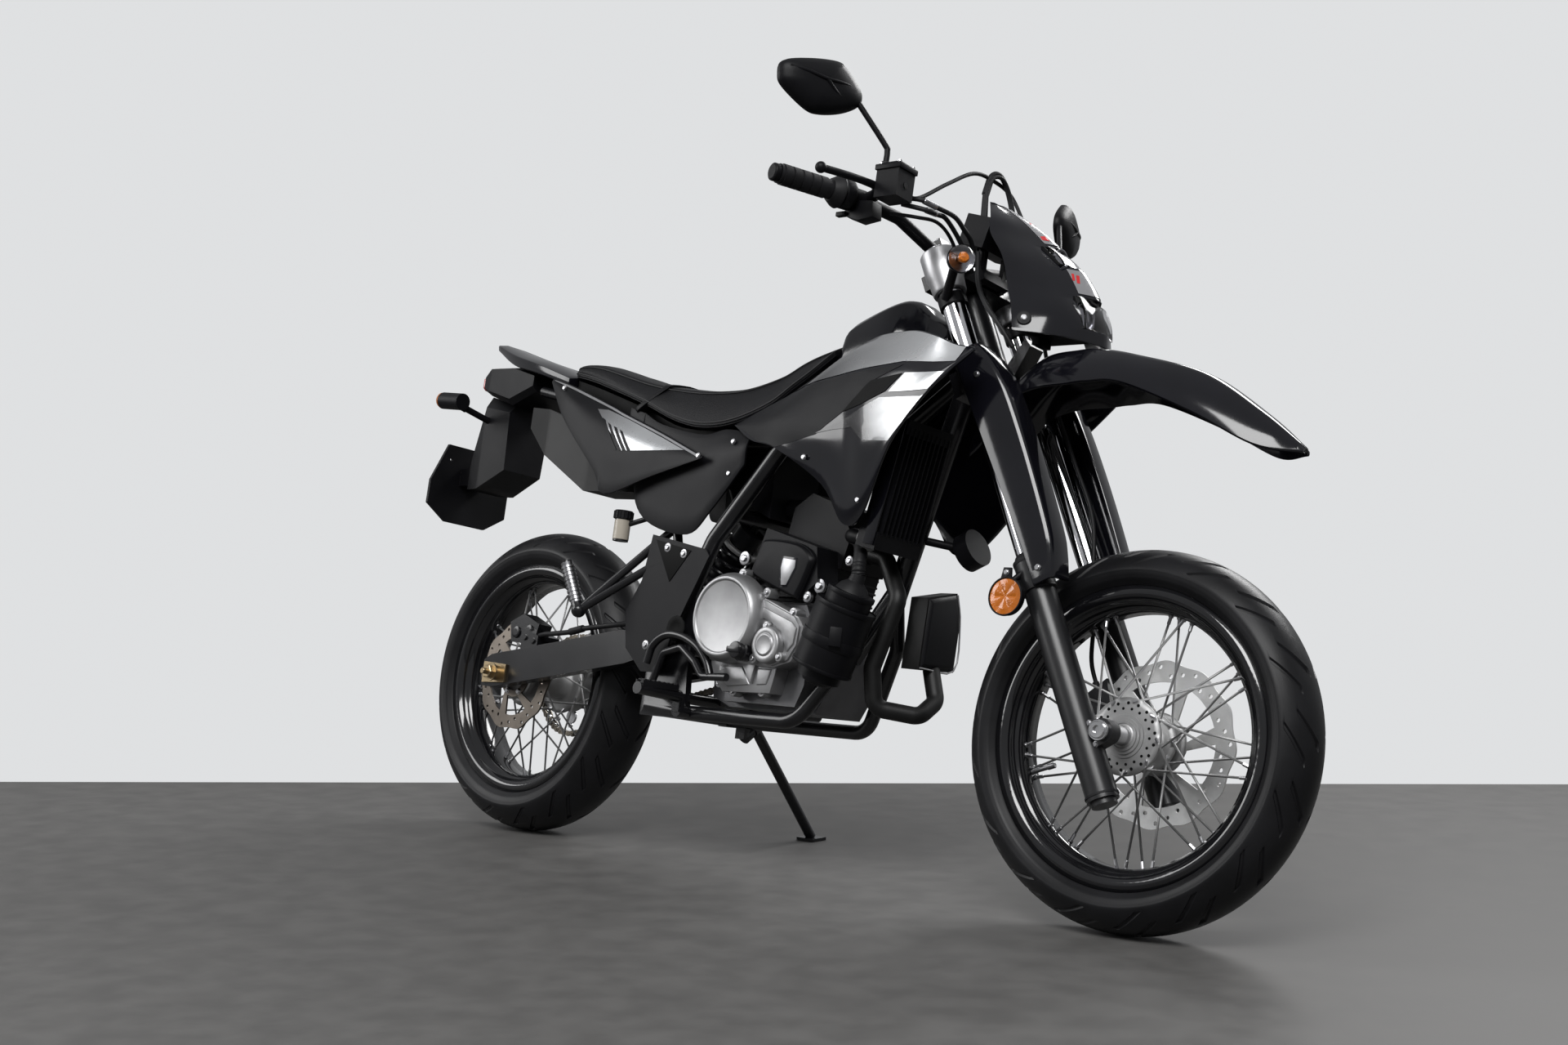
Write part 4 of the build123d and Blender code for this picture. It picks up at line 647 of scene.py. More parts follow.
piece("chain_links", chain_links(), CHAIN, ("chain_drive",))
flat_ring("front_sprocket_plate", [teeth_outline(FRONT_TEETH), circle(0, 0, 8)],
          (SPROCKET[0], CHAIN_Y, SPROCKET[1]), SPROCKET_THICKNESS, "chassis", STEEL)
windows = [circle(x, z, 14, 24) for x, z in circle(0, 0, 66, 6, 0.5)]
small_holes = [circle(x, z, 5, 12) for x, z in circle(0, 0, 84, 12)]
flat_ring("rear_sprocket_plate", [teeth_outline(REAR_TEETH), circle(0, 0, 30, 40)] + windows + small_holes,
          (0, CHAIN_Y, REAR_R), SPROCKET_THICKNESS, "rear_wheel", STEEL, ("rear_sprocket",))


# Bodywork, from the same stations as the CAD panels but smooth between them
def shell(rows, inward):
    """A closed shell from rows of outer points and the move that leads to each inner point."""
    return Form().rings([list(row) + [Vector(p) + Vector(inward(p)) for p in row[::-1]] for row in rows])


def side_skin(rows, side, wall=4.0):
    return shell(grid(side_rows(rows, side), 6, 4), lambda p: (0, -side * wall, 0))


COWL_ROWS = [
    # z, x side, y side, x cheek, y cheek, x nose
    (924, 1183, 126, 1250, 76, 1282),
    (965, 1170, 118, 1243, 72, 1277),
    (1010, 1150, 108, 1214, 62, 1257),
    (1064, 1125, 98, 1176, 50, 1216),
    (1113, 1086, 86, 1128, 42, 1160),
    (1150, 1070, 70, 1092, 36, 1112),
    (1188, 1042, 38, 1048, 20, 1052),
]


def cowl_row(z, xs, ys, xc, yc, xn, wall=0.0):
    half = [(xs, ys - wall), ((xs + xc) / 2 + 2, (ys + yc) / 2 + 2.5 - wall), (xc - wall, yc - wall / 2),
            (xc + (xn - xc) * 0.55 + 2 - wall, yc * 0.52), (xn - wall, 9), (xn + 1.5 - wall, 0)]
    return mirrored([(x, y, z) for x, y in half])


cowl_outer, cowl_inner = (grid([cowl_row(*row, wall=wall) for row in COWL_ROWS], 7) for wall in (0.0, 4.0))
cowl_form = Form().rings([a + b[::-1] for a, b in zip(cowl_outer, cowl_inner)])
CORNER = 6
lamp_windows = Form()
for half_width, z0, z1 in ((34, 1062, 1100), (44, 946, 1004)):
    cut, low, high = half_width - CORNER, z0 + CORNER, z1 - CORNER
    window = [(-half_width, low), (-cut, z0), (cut, z0), (half_width, low), (half_width, high), (cut, z1),
              (-cut, z1), (-half_width, high)]
    lamp_windows.rings([[(x, y, z) for y, z in window] for x in (1120, 1320)])
steered("mask_shell", cowl_form, GLOSS, ("front_cowl",), bevel=1.6, cuts=lamp_windows)
OFF_MASK = Vector((0.85, 0, 0.5))


def mask_film(z0, z1):
    """The nose part of the mask's outer face between two heights, lifted off it."""
    rows = [[p + OFF_MASK for p in row[3:8]] for row in cowl_outer if z0 <= row[5].z <= z1]
    return Form().rings([row + [p - Vector((0.5, 0, 0.3)) for p in row[::-1]] for row in rows])


def mask_patch(corners):
    """A small film on the mask's nose, from its corners (y, z)."""
    tree = BVHTree.FromPolygons(cowl_form.verts, cowl_form.faces)
    hits = [tree.ray_cast(Vector((1400, y, z)), Vector(BACKWARD))[0] for y, z in corners]
    return Form().rings([[p + OFF_MASK * lift for p in hits] for lift in (1.6, 1.0)])


FENDER_ROWS = [
    # x, edge y, edge z, shoulder y, shoulder z, crown z
    (1070, 44, 738, 36, 772, 782),
    (1105, 56, 762, 44, 796, 808),
    (1150, 66, 822, 50, 856, 866),
    (1200, 72, 842, 52, 894, 906),
    (1260, 76, 846, 52, 904, 914),
    (1300, 76, 849, 50, 905, 914),
    (1363, 72, 846, 46, 894, 903),
    (1484, 62, 798, 38, 860, 869),
    (1586, 46, 748, 26, 798, 804),
    (1651, 12, 742, 6, 748, 751),
]


def fender_row(x, ye, ze, ys, zs, zc):
    return mirrored([(x, ye, ze), (x, (ye + ys) / 2 + 2.5, (ze + zs) / 2 + 1), (x, ys, zs),
                     (x, ys * 0.82, zs + (zc - zs) * 0.6), (x, ys * 0.4, zc - 1), (x, 0, zc)])


fender_form = shell(grid([fender_row(*row) for row in FENDER_ROWS], 8),
                    lambda p: (0, -3.0 if p[1] > 4 else 3.0 if p[1] < -4 else 0, -3.0))
steered("fender_shell", fender_form, GLOSS, ("front_fender",), bevel=1.1)

fork_guards = Form()
for side in SIDES:
    rows = []
    for s, n0, n1 in ((552, 26, 64), (594, 25, 76), (636, 24, 82), (760, 17, 86), (880, 10, 84), (940, 8, 74),
                      (985, 8, 56)):
        ring = [(n0, 129), (n0 + 2, 133), (n1 - 10, 134), (n1 - 3, 130), (n1, 122), (n1 + 2, 87),
                (n1 - 2, 86), (n1 - 4, 119), (n1 - 8, 127), (n1 - 12, 129.5)]
        rows.append([fork(n, side * y, s) for n, y in ring])
    fork_guards.rings(grid(rows, 4))
steered("fork_guard_shells", fork_guards, GLOSS, ("fork_guards",), bevel=0.9)

# Each station: x, then (y, z) from the top edge down
PANELS = {
    "shroud": [
        (576, [(112, 797), (114, 796), (116, 795), (117, 794)]),
        (640, [(112, 822), (126, 800), (132, 782), (132, 760)]),
        (716, [(112, 852), (132, 826), (146, 790), (145, 740)]),
        (843, [(104, 925), (150, 880), (168, 770), (152, 672)]),
        (903, [(108, 943), (162, 890), (178, 780), (154, 604)]),
        (957, [(122, 941), (174, 880), (192, 760), (168, 615)]),
        (1027, [(158, 928), (188, 870), (204, 780), (202, 723)]),
        (1095, [(189, 906), (198, 862), (208, 826), (210, 800)]),
        (1140, [(194, 888), (202, 862), (208, 850), (209, 838)]),
        (1184, [(198, 879), (201, 877), (202, 875), (203, 873)]),
    ],
    "side_cover": [
        (40, [(122, 910), (124, 906), (126, 902)]),
        (122, [(124, 886), (142, 862), (148, 816)]),
        (242, [(126, 842), (148, 790), (154, 708)]),
        (282, [(128, 826), (150, 770), (154, 662)]),
        (406, [(132, 780), (148, 744), (152, 694)]),
        (536, [(148, 730), (149, 728), (150, 726)]),
    ],
    "side_panel": [
        (290, [(121, 838), (122, 826), (123, 810)]),
        (332, [(121, 826), (123, 812), (124, 794)]),
        (336, [(121, 824), (126, 750), (128, 676)]),
        (390, [(121, 800), (128, 740), (132, 612)]),
        (500, [(120, 778), (132, 720), (130, 588)]),
        (560, [(118, 786), (134, 730), (132, 634)]),
        (628, [(116, 776), (130, 752), (130, 716)]),
    ],
}
skins = {(panel, side): side_skin(rows, side) for panel, rows in PANELS.items() for side in SIDES}
for panel in PANELS:
    piece(f"{panel}_shells", Form(*(skins[panel, side] for side in SIDES)),
          GLOSS if panel == "shroud" else SATIN, (f"{panel}s",), bevel=1.2)

TANK_ROWS = [
    # x, half width low, z low, half width top, z shoulder, z crown
    (700, 74, 790, 66, 826, 838),
    (768, 80, 850, 66, 884, 892),
    (773, 80, 852, 60, 962, 982),
    (790, 80, 860, 60, 976, 996),
    (866, 76, 900, 56, 1008, 1022),
    (904, 58, 908, 40, 1016, 1026),
    (940, 44, 907, 30, 990, 999),
    (985, 32, 942, 20, 970, 976),
]


def tank_ring(x, yl, zl, yt, zs, zc):
    return mirrored([(x, yl * 0.55, zl), (x, yl, zl + 6), (x, (yl + yt) / 2 + 3, (zl + zs) / 2 + 3),
                     (x, yt, zs), (x, yt * 0.75, zs + (zc - zs) * 0.7), (x, yt * 0.4, zc)])


# The first two stations are the flat step under the seat's nose
tank_rings = [tank_ring(*row) for row in TANK_ROWS]
piece("tank_cover_shell", Form().rings(tank_rings[:2] + grid(tank_rings[2:], 5)), GLOSS, ("tank_cover",),
      bevel=2.4)

TAIL_ROWS = [
    # x, then half outline from the bottom up
    (60, [(96, 900), (98, 916), (60, 926)]),
    (-60, [(92, 935), (94, 955), (50, 966)]),
    (-160, [(76, 962), (78, 984), (40, 994)]),
    (-262, [(46, 1008), (48, 1020), (24, 1026)]),
]
tail_rings = grid([mirrored([(x, y, z) for y, z in half]) for x, half in TAIL_ROWS], 6)
piece("tail_cowl_shell", Form().rings(tail_rings), GLOSS, ("tail_cowl",), bevel=3.0)

SEAT_ROWS = [
    # x, half width low, z low, half width shoulder, z shoulder, z crown
    (66, 84, 918, 78, 930, 938),
    (90, 96, 914, 92, 938, 950),
    (161, 104, 896, 96, 930, 942),
    (314, 118, 846, 100, 888, 900),
    (423, 124, 805, 102, 868, 882),
    (500, 122, 790, 98, 862, 876),
    (573, 116, 797, 90, 866, 882),
    (646, 104, 826, 78, 888, 902),
    (690, 96, 858, 68, 914, 928),
    (724, 88, 884, 60, 930, 941),
    (768, 76, 922, 46, 948, 953),
]
STRAP_X, STRAP_LEAN, STRAP_TOP = (352, 380), 1.25, 878


def seat_ring(x, yl, zl, ys, zs, zc, grow=0.0):
    half = [(yl * 0.8, zl), (yl - 2, zl + 3), (yl + grow, zl + 10),
            ((yl + ys) / 2 + 4 + grow, (zl + zs) / 2 + 2), (ys + 1 + grow, zs - 2 + grow),
            (ys - 7, zs + 5 + grow), (ys * 0.5, zc + grow), (0, zc - 1.5 + grow)]
    return mirrored([(x, y, z) for y, z in half])


def seat_rings(steps, grow=0.0):
    return [closed_line(r, 3) for r in grid([seat_ring(*row, grow=grow) for row in SEAT_ROWS], steps)]


cushion = piece("seat_cushion", Form().rings(seat_rings(8)), VINYL, ("seat",), bevel=2.0)
strap = [[Vector((p.x + (min(p.z, STRAP_TOP) - STRAP_TOP) * STRAP_LEAN, p.y, p.z)) for p in ring]
         for ring in seat_rings(14, 3.6) if STRAP_X[0] <= ring[0].x <= STRAP_X[1]]
piece("seat_strap", Form().rings(strap), SATIN, bevel=0.8)
seams = Form()
seam_rings = [seat_ring(*row, grow=0.9) for row in SEAT_ROWS]
for index, size in ((2, 1.3), (4, 1.1)):
    for i in (-1 - index, index):
        seams.tube([ring[i] for ring in seam_rings], size, 8, 8)
piece("seat_seams", seams, STITCH)

# x, half width, low z, high z
TRAY_ROWS = [(70, 80, 884, 914), (161, 90, 850, 888), (314, 98, 800, 838), (423, 100, 768, 798),
             (560, 96, 752, 786)]
tray = [mirrored([(x, w, low), (x, w, high)]) for x, w, low, high in TRAY_ROWS]
piece("under_seat_tray", Form().rings(grid(tray, 4)), SHADE_BLACK)

# Films on the panels, as side-view outlines of (x, z)
SILVER_FADE = fade("silver_fade_film", (0.52, 0.53, 0.54), (0.045, 0.045, 0.048), (1120, -190, 890),
                   (800, -120, 870))
GREY_FADE = fade("grey_fade_film", (0.50, 0.51, 0.52), (0.012, 0.012, 0.013), (1050, -200, 790),
                 (950, -200, 760))
COVER_FADE = fade("cover_fade_film", (0.16, 0.16, 0.165), (0.42, 0.43, 0.44), (215, -130, 830),
                  (330, -150, 760))
TIP_FILM = finish("light_silver_film", "engine_silver", (0.58, 0.59, 0.60), 0.24, metallic=0.5, coat=0.5,
                  grain=0.12, grain_scale=FILM_GRAIN)
EDGE_FILM = finish("thin_silver_line", "engine_silver", (0.30, 0.30, 0.31), 0.3, metallic=0.5, grain=0.1)
MASK_FILM = finish("mask_grey_film", "engine_silver", (0.30, 0.30, 0.31), 0.22, metallic=0.45, coat=0.6,
                   grain=0.1, grain_scale=FILM_GRAIN)
FILMS = (
    ("shroud", "shroud_middle", SATIN, 0.8,
     [(580, 796), (640, 822), (712, 848), (789, 855), (865, 857), (953, 860), (1030, 862), (958, 838),
      (894, 791), (826, 757), (717, 743), (694, 743), (640, 766)]),
    # Painted shade: a dark film where the intake's recess lies in shade
    ("shroud", "shroud_intake_shade", SHADE_BLACK, 1.2,
     [(958, 840), (1034, 846), (1001, 817), (943, 799), (894, 791), (925, 813)]),
    ("shroud", "shroud_top", SILVER_FADE, 1.2,
     [(704, 851), (777, 884), (833, 914), (902, 941), (957, 941), (1027, 928), (1100, 904), (1164, 884),
      (1152, 856), (1100, 860), (1028, 868), (948, 866), (863, 861), (789, 858)]),
    ("shroud", "shroud_lower", GREY_FADE, 1.2,
     [(990, 807), (1098, 800), (1062, 766), (1026, 731), (958, 737), (925, 762), (873, 762), (826, 759),
      (914, 781)]),
    ("shroud", "shroud_tip", TIP_FILM, 1.2,
     [(1040, 846), (1134, 839), (1104, 812), (1066, 812), (1010, 815)]),
    ("side_cover", "cover_silver", COVER_FADE, 0.8,
     [(209, 836), (236, 834), (300, 812), (480, 744), (312, 746), (286, 770), (250, 800)]),
    ("side_cover", "cover_edge", EDGE_FILM, 1.0,
     [(44, 912), (122, 888), (242, 844), (282, 828), (406, 782), (530, 733), (530, 726), (406, 774),
      (282, 820), (242, 836), (122, 880), (50, 904)]),
    ("side_cover", "cover_bar_1", SATIN, 1.3, [(232, 817), (242, 812), (300, 747), (288, 748)]),
    ("side_cover", "cover_bar_2", SATIN, 1.3, [(252, 806), (262, 801), (314, 746), (303, 746)]),
    ("side_cover", "cover_bar_3", SATIN, 1.3, [(272, 798), (282, 794), (326, 746), (316, 746)]),
    ("side_cover", "cover_bar_4", SATIN, 1.3, [(292, 790), (301, 786), (338, 746), (329, 746)]),
)
for side, word in ((-1, "right"), (1, "left")):
    for panel, label, material, lift, outline in FILMS:
        decal(f"{label}_{word}", outline, PANELS[panel], skins[panel, side], side, material, lift)


# Finishes of the CAD nodes that stay
def paint(node, material, bevel):
    obj = frame["nodes"][node]
    mesh = obj.data
    mesh.materials.clear()
    mesh.materials.append(material)
    own = mesh.attributes.get("custom_normal")
    if own:
        mesh.attributes.remove(own)
    mesh.shade_smooth()
    obj.modifiers.new("weld", "WELD").merge_threshold = 0.00002
    if bevel:
        edge = edge_modifier(obj, bevel * MM, 38)
        edge.use_clamp_overlap = True
        edge.harden_normals = True
    mesh.set_sharp_from_angle(angle=radians(36))


for material, bevel, nodes in (
        (RIM, 0, "front_rim rear_rim"), (CAST, 0, "front_hub rear_hub"), (STEEL, 0.5, "front_axle"),
        (STEEL, 0.8, "swingarm_pivot"), (ZINC, 0.8, "rear_axle"), (SLIDER, 1.0, "fork_sliders"),
        (CHROME, 0.5, "fork_stanchions"), (RUBBER, 1.0, "grips"), (SHADED_CASE, 3.0, "crankcase"),
        (EXHAUST, 2.0, "exhaust"), (EXHAUST, 3.0, "silencer"),
        (FRAME, 1.0, "frame footpegs foot_levers side_stand"), (FRAME, 1.5, "fork_clamps"),
        (FRAME, 2.0, "front_caliper rear_brake"), (FRAME, 3.0, "swingarm"),
        (SATIN, 0, "handlebar"), (SATIN, 0.5, "front_reflector radiator"),
        (SATIN, 1.0, "horn plate_holder shock"), (SATIN, 1.2, "bar_controls frame_guards"),
        (SATIN, 2.0, "instrument airbox canister rear_lamps"), (SATIN, 3.0, "cylinder")):
    for node in nodes.split():
        paint(node, material, bevel)

# Lamps
LAMP_BACK = 1148
lamp = Form()
for half_width, z0, z1, low, high in ((33, 1063, 1099, 1200, 1160), (43, 947, 1003, 1262, 1241)):
    lamp.block((LAMP_BACK, LAMP_BACK + 4), (-half_width, half_width), (z0, z1))
    for y0, y1 in ((-half_width, 2 - half_width), (half_width - 2, half_width)):
        lamp.plate([(LAMP_BACK, z0), (low, z0), (high, z1), (LAMP_BACK, z1)], y0, y1)
    lamp.plate([(LAMP_BACK, z0), (low, z0), (low, z0 + 2), (LAMP_BACK, z0 + 2)], -half_width, half_width)
lamp.block((LAMP_BACK, 1165), (-20, 20), (1000, 1066))
lamp.block((1151, 1165), (-19, 19), (932, 950))
steered("lamp_bodies", lamp, SHADE_BLACK, bevel=0.8)
bowls, bulbs, lenses = Form(), Form(), Form()
for x, z, r, depth in ((1176, 1081, 17, 24), (1236, 975, 26, 40)):
    profile = [(depth * (1 - sqrt(max(0, 1 - (k / 12) ** 2))) - depth, r * k / 12) for k in range(13)]
    bowls.turned(profile + [(2, r + 2), (2, r + 4), (-3, r + 4)], (x, 0, z), FORWARD, 40)
    bulbs.rod((x - depth + 2, 0, z), (x - 4, 0, z), 4, 16, 1.5)
for half_width, z0, z1, low, high in ((33.3, 1062.7, 1099.3, 1206, 1167),
                                      (43.3, 946.7, 1003.3, 1268, 1247.5)):
    rows = []
    for i in range(9):
        t = i / 8
        x = low + (high - low) * t + 5 * (1 - (2 * t - 1) ** 2)
        z = z0 + (z1 - z0) * t
        spread = [k / 6 - 1 for k in range(13)]
        rows.append([Vector((x + 4 * (1 - w ** 2), half_width * w, z)) for w in spread])
    lenses.rings([row + [p - Vector((2.5, 0, 0)) for p in row[::-1]] for row in rows])
steered("lamp_reflectors", bowls, BOWL, ("headlamps",))
steered("lamp_bulbs", bulbs, CHROME)
steered("lamp_lenses", lenses, LENS, bevel=0.5)

lens, bulb, dish, housing, rear_lens = Form(), Form(), Form(), Form(), Form()
BELL = [(30 * sin(pi / 2 * k / 10), max(22.5 * cos(pi / 2 * k / 10), 0.01)) for k in range(11)]
for side in SIDES:
    face = Vector((1090, side * 163, 1040))
    way = Vector((0.82, side * 0.57, -0.05)).normalized()
    lens.turned([(0.5, 22.5)] + [(1 + t, r) for t, r in BELL], face, way, 40)
    bulb.turned([(3, 5), (14, 8), (18, 6), (20, 0.01)], face, way, 20)
    dish.turned([(0.4, 0.01), (0.4, 21), (1.2, 21.4), (2.2, 21), (1.0, 14), (1.0, 0.01)], face, way, 40)
    housing.turned([(-34, 5), (-28, 12), (-16, 19), (-3, 23.4), (0.3, 23.4)], face, way, 40)
    housing.turned([(0, 20.7), (0, 24.5), (20, 24.5), (20, 20.7)], fork(FORK_N, side * FORK_Y, 1084), UP, 40,
                   loop=True)
    housing.rod(fork(FORK_N, side * 123, 1094), face - way * 22, 8, 16)
    rear_lens.turned([(0.4, 17.6), (4, 17.6), (9, 15), (13, 9), (14, 0.01)], (-300, side * 140, 876),
                     BACKWARD)
steered("front_indicator_lenses", lens, LENS)
steered("front_indicator_bulbs", bulb, AMBER)
steered("front_indicator_dishes", dish, BOWL)
steered("front_indicator_housings", housing, SATIN, ("front_indicators",))
piece("rear_indicator_lenses", rear_lens, AMBER, slot="lamp_lens")
TAIL_LENS = ((55, 916), (62, 922), (62, 942), (50, 946))
tail_lens = [mirrored([(x, y, z) for y, z in TAIL_LENS]) for x in (-268.4, -276)]
piece("tail_lamp_lens", Form().rings(tail_lens), RED, bevel=2.0)

REFLECTOR = Vector((1247, -141.2, 486))
facets = []
for r, depth, ridge in ((28.2, 1.0, 0), (28.2, 3.2, 0), (20, 3.6, 1.5), (9, 3.6, 1.5), (0.01, 3.0, 0)):
    facets.append([REFLECTOR + Vector((r * c, -depth - ridge * abs(sin(3 * atan2(s, c))), r * s))
                   for c, s in circle(0, 0, 1, 72)])
steered("reflector_lens", Form().rings(facets), AMBER, angle=12)
rim = Form().turned([(0.2, 28.4), (0.2, 31), (4.4, 31), (4.8, 30.2), (4.8, 28.4)], REFLECTOR, RIGHT, 64,
                    loop=True)
rim.plate([(1232, 512), (1252, 512), (1250, 532), (1236, 532)], -137.5, -142)
steered("reflector_rim", rim, SATIN, bevel=0.5)
steered("reflector_bolt", Form().bolts([(1242, -142, 524)], RIGHT, 4), BOLT)

# Engine dressing: the right covers with their bosses
CASE_Y, COVER_Y = -92.3, -134
clutch = Form()
COVER_OUTLINE = [(596, 392), (606, 362), (768, 354), (806, 366), (824, 394), (826, 428), (812, 444),
                 (706, 482), (690, 500), (606, 492)]
clutch.plate(COVER_OUTLINE, CASE_Y, COVER_Y)
clutch.plate(scaled(COVER_OUTLINE, 706, 424, 0.96), COVER_Y, -139)
clutch.plate([(600, 368), (618, 329), (641, 307), (757, 310), (768, 362)], CASE_Y, -124)
clutch.plate([(628, 352), (685, 354), (709, 322), (653, 316), (623, 334)], -124, -126.5, shrink=3)
clutch.plate([(722, 352), (757, 352), (748, 324), (724, 322)], -124, -126.5, shrink=3)
clutch.plate([(694, 360), (722, 360), (714, 322)], -124, -131, shrink=4)
clutch.plate([(716, 464), (806, 434), (818, 424), (815, 396), (802, 382), (796, 392), (778, 422), (748, 436),
              (728, 440)], -139, -142, shrink=3)
clutch.turned([(-8, 80), (10, 80), (14, 79), (22, 75.5), (26.5, 72.5), (28.5, 70), (28.5, 66), (27.5, 64.6),
               (26, 63.5), (26, 0.01)], (657, -138, 436), RIGHT, 96)
clutch.turned([(-4, 33), (12, 32.5), (16, 31), (17.5, 28), (17.5, 22), (16.8, 20.5), (18.6, 18.5),
               (19.4, 16.5), (18.6, 14.5), (18.6, 0.01)], (760, -138, 391), RIGHT, 56)
engine_screws = Form()
for spots, foot_r, foot, height, y in (
        (((752, 424), (790, 372), (730, 366)), 9, -4, 11, -138),
        (((664, 517), (729, 484), (798, 451), (601, 371)), 9.5, 0, 24, -110),
        (((625, 322), (662, 309), (732, 312)), 9.5, 0, 19, -100)):
    top_r = 8.6 if foot_r == 9 else 9.2
    profile = [(foot, foot_r), (height - 1, top_r), (height, top_r - 1), (height, 0.01)]
    clutch.turns(profile, [(x, y, z) for x, z in spots], RIGHT, 24)
    engine_screws.bolts([(x, y - height, z) for x, z in spots], RIGHT, 4.4)
piece("clutch_cover_casting", clutch, SILVER, ("clutch_cover",), bevel=1.6)
filler = Form().turned([(0, 18), (18, 18), (19, 15), (30, 15), (32, 14), (32, 0.01)], (705, -139, 378),
                       RIGHT, 36)
filler.block((690, 720), (-176, -168), (373, 383))
piece("oil_filler_cap", filler, FRAME, bevel=0.8)
case_screws = ((630, 300), (700, 298), (770, 300), (798, 334), (799, 440), (640, 462), (628, 410))
engine_screws.bolts([(x, 82, z) for x, z in case_screws], LEFT, 5)
engine_screws.bolts([(x, 106, z) for x, z in circle(732, 392, 62, 5)], LEFT, 4.5)
piece("engine_screws", engine_screws, BOLT)

HEAD_OUTLINE = [(700, 583), (780, 575), (816, 553), (814, 530), (793, 482), (779, 479), (684, 512),
                (672, 528), (684, 568)]
head_edge = [tuple(p) for p in closed_line(HEAD_OUTLINE, 4)]
head = Form().plate(head_edge, -112.2, -118, shrink=2)
head.plate(scaled(head_edge, 745, 530, 0.97), -118, -124, shrink=7)
piece("head_cover_rim", head, SATIN, bevel=1.2)
INSET = [(750, 547), (780, 544), (780, 531), (764, 500), (752, 500), (747, 530)]
piece("head_cover_inset", Form().plate(INSET, -124, -124.8), CLAMP, bevel=0.3)
INSET_RIM = [(747, 551), (784, 548), (784, 529), (766, 496), (749, 496), (743, 530)]
piece("head_cover_frame", Form().plate(INSET_RIM, -123.6, -124.4), GLOSS, bevel=0.3)
fins = Form()
for i in range(5):
    z = 486 + i * 12
    fins.block((674 + i * 3, 806 + i * 2), (-63, 63), (z, z + 4))
piece("barrel_ribs", fins, SATIN, bevel=0.8)
head_bolts = Form()
for x, y, z, r in ((634, -104, 549, 6.5), (806, -112, 482, 5), (828, -108, 502, 6.5), (882, -100, 548, 4.5)):
    head_bolts.turned([(-6, r * 1.9), (0, r * 1.9), (0.6, r * 1.5)], (x, y, z), RIGHT, 28)
    head_bolts.bolts([(x, y, z)], RIGHT, r)
piece("head_bolts", head_bolts, BOLT)

# Canister with its clip and hose
CAN_FOOT, CAN_TOP = Vector((874, -134, 342)), Vector((928, -134, 491))
way = (CAN_TOP - CAN_FOOT).normalized()
bands = Form()
for t0, t1, r in ((18, 24, 53.5), (60, 78, 53.6), (126, 134, 53.5), (150, 158, 41.5)):
    bands.turned([(t0, r - 1.5), (t0, r), (t1, r), (t1, r - 1.5)], CAN_FOOT, way, 56, loop=True)
clip_way, clip_side = Vector((0.707, -0.707, 0)), Vector((0.707, 0.707, 0))
clip_at = CAN_FOOT.lerp(CAN_TOP, 0.45) + clip_way * 52
bands.rings([[clip_at + clip_side * a + Vector((0, 0, b)) + clip_way * c
              for a, b in ((-10, -16), (10, -16), (10, 16), (-10, 16))] for c in (-2, 6)])
piece("canister_bands", bands, SATIN, bevel=0.6)
hose_ends = Form().turned([(-10, 18), (-8, 24), (0, 30), (1, 30)], CAN_FOOT, way, 40)
hose_ends.turned([(158, 30), (168, 24), (176, 14), (190, 12)], CAN_FOOT, way, 40)
hose_ends.tube([CAN_FOOT + way * 186, CAN_TOP + Vector((8, 0, 40)), CAN_TOP + Vector((-10, 20, 76)),
                (870, -70, 590)], 11, 16, 10, ribs=1.2)
piece("canister_ends", hose_ends, RUBBER)

# Exhaust shield, hose clamps and the radiator's edges
shield = Form().rings([[(x, y, z) for y, z in outline] for x, outline in (
    (972.3, [(10, 382), (102, 388), (106, 470), (91, 521), (16, 503)]),
    (978, [(16, 390), (96, 396), (98, 468), (86, 511), (22, 496)]))])
piece("exhaust_shield", shield, SATIN, bevel=1.5)
edge_strip = Form().tube([(974, 10, 383), (974, 102, 389), (974, 106, 470), (974, 91, 521)], 1.6, 8, 4)
piece("exhaust_shield_edge", edge_strip, CLAMP)
clamps = Form()
for point, way in (((922, -110, 584), (1, 0, -0.2)), ((868, -76, 594), (0.55, -0.8, 0))):
    clamps.turned([(-5, 13.2), (-5, 14.6), (5, 14.6), (5, 13.2)], point, way, 32, loop=True)
piece("hose_clamps", clamps, STEEL)
joint = Form().rod((900, -102, 588), (934, -114, 582), 15.6, 28, 2.0)
joint.turned([(0, 19), (5, 19), (6, 17.5)], (932, -113, 582.5), (1, -0.3, -0.17), 28)
piece("radiator_joint", joint, CAST, bevel=0.6)
rad_edge = Form()
for y in (-146, -24):
    rad_edge.rings([[(x, y - 1.5, z), (x + 22, y - 1.5, z - 4), (x + 22, y + 1.5, z - 4), (x, y + 1.5, z)]
                    for x, z in ((949, 572), (993, 786))])
piece("radiator_frame", rad_edge, GLOSS, bevel=0.6)

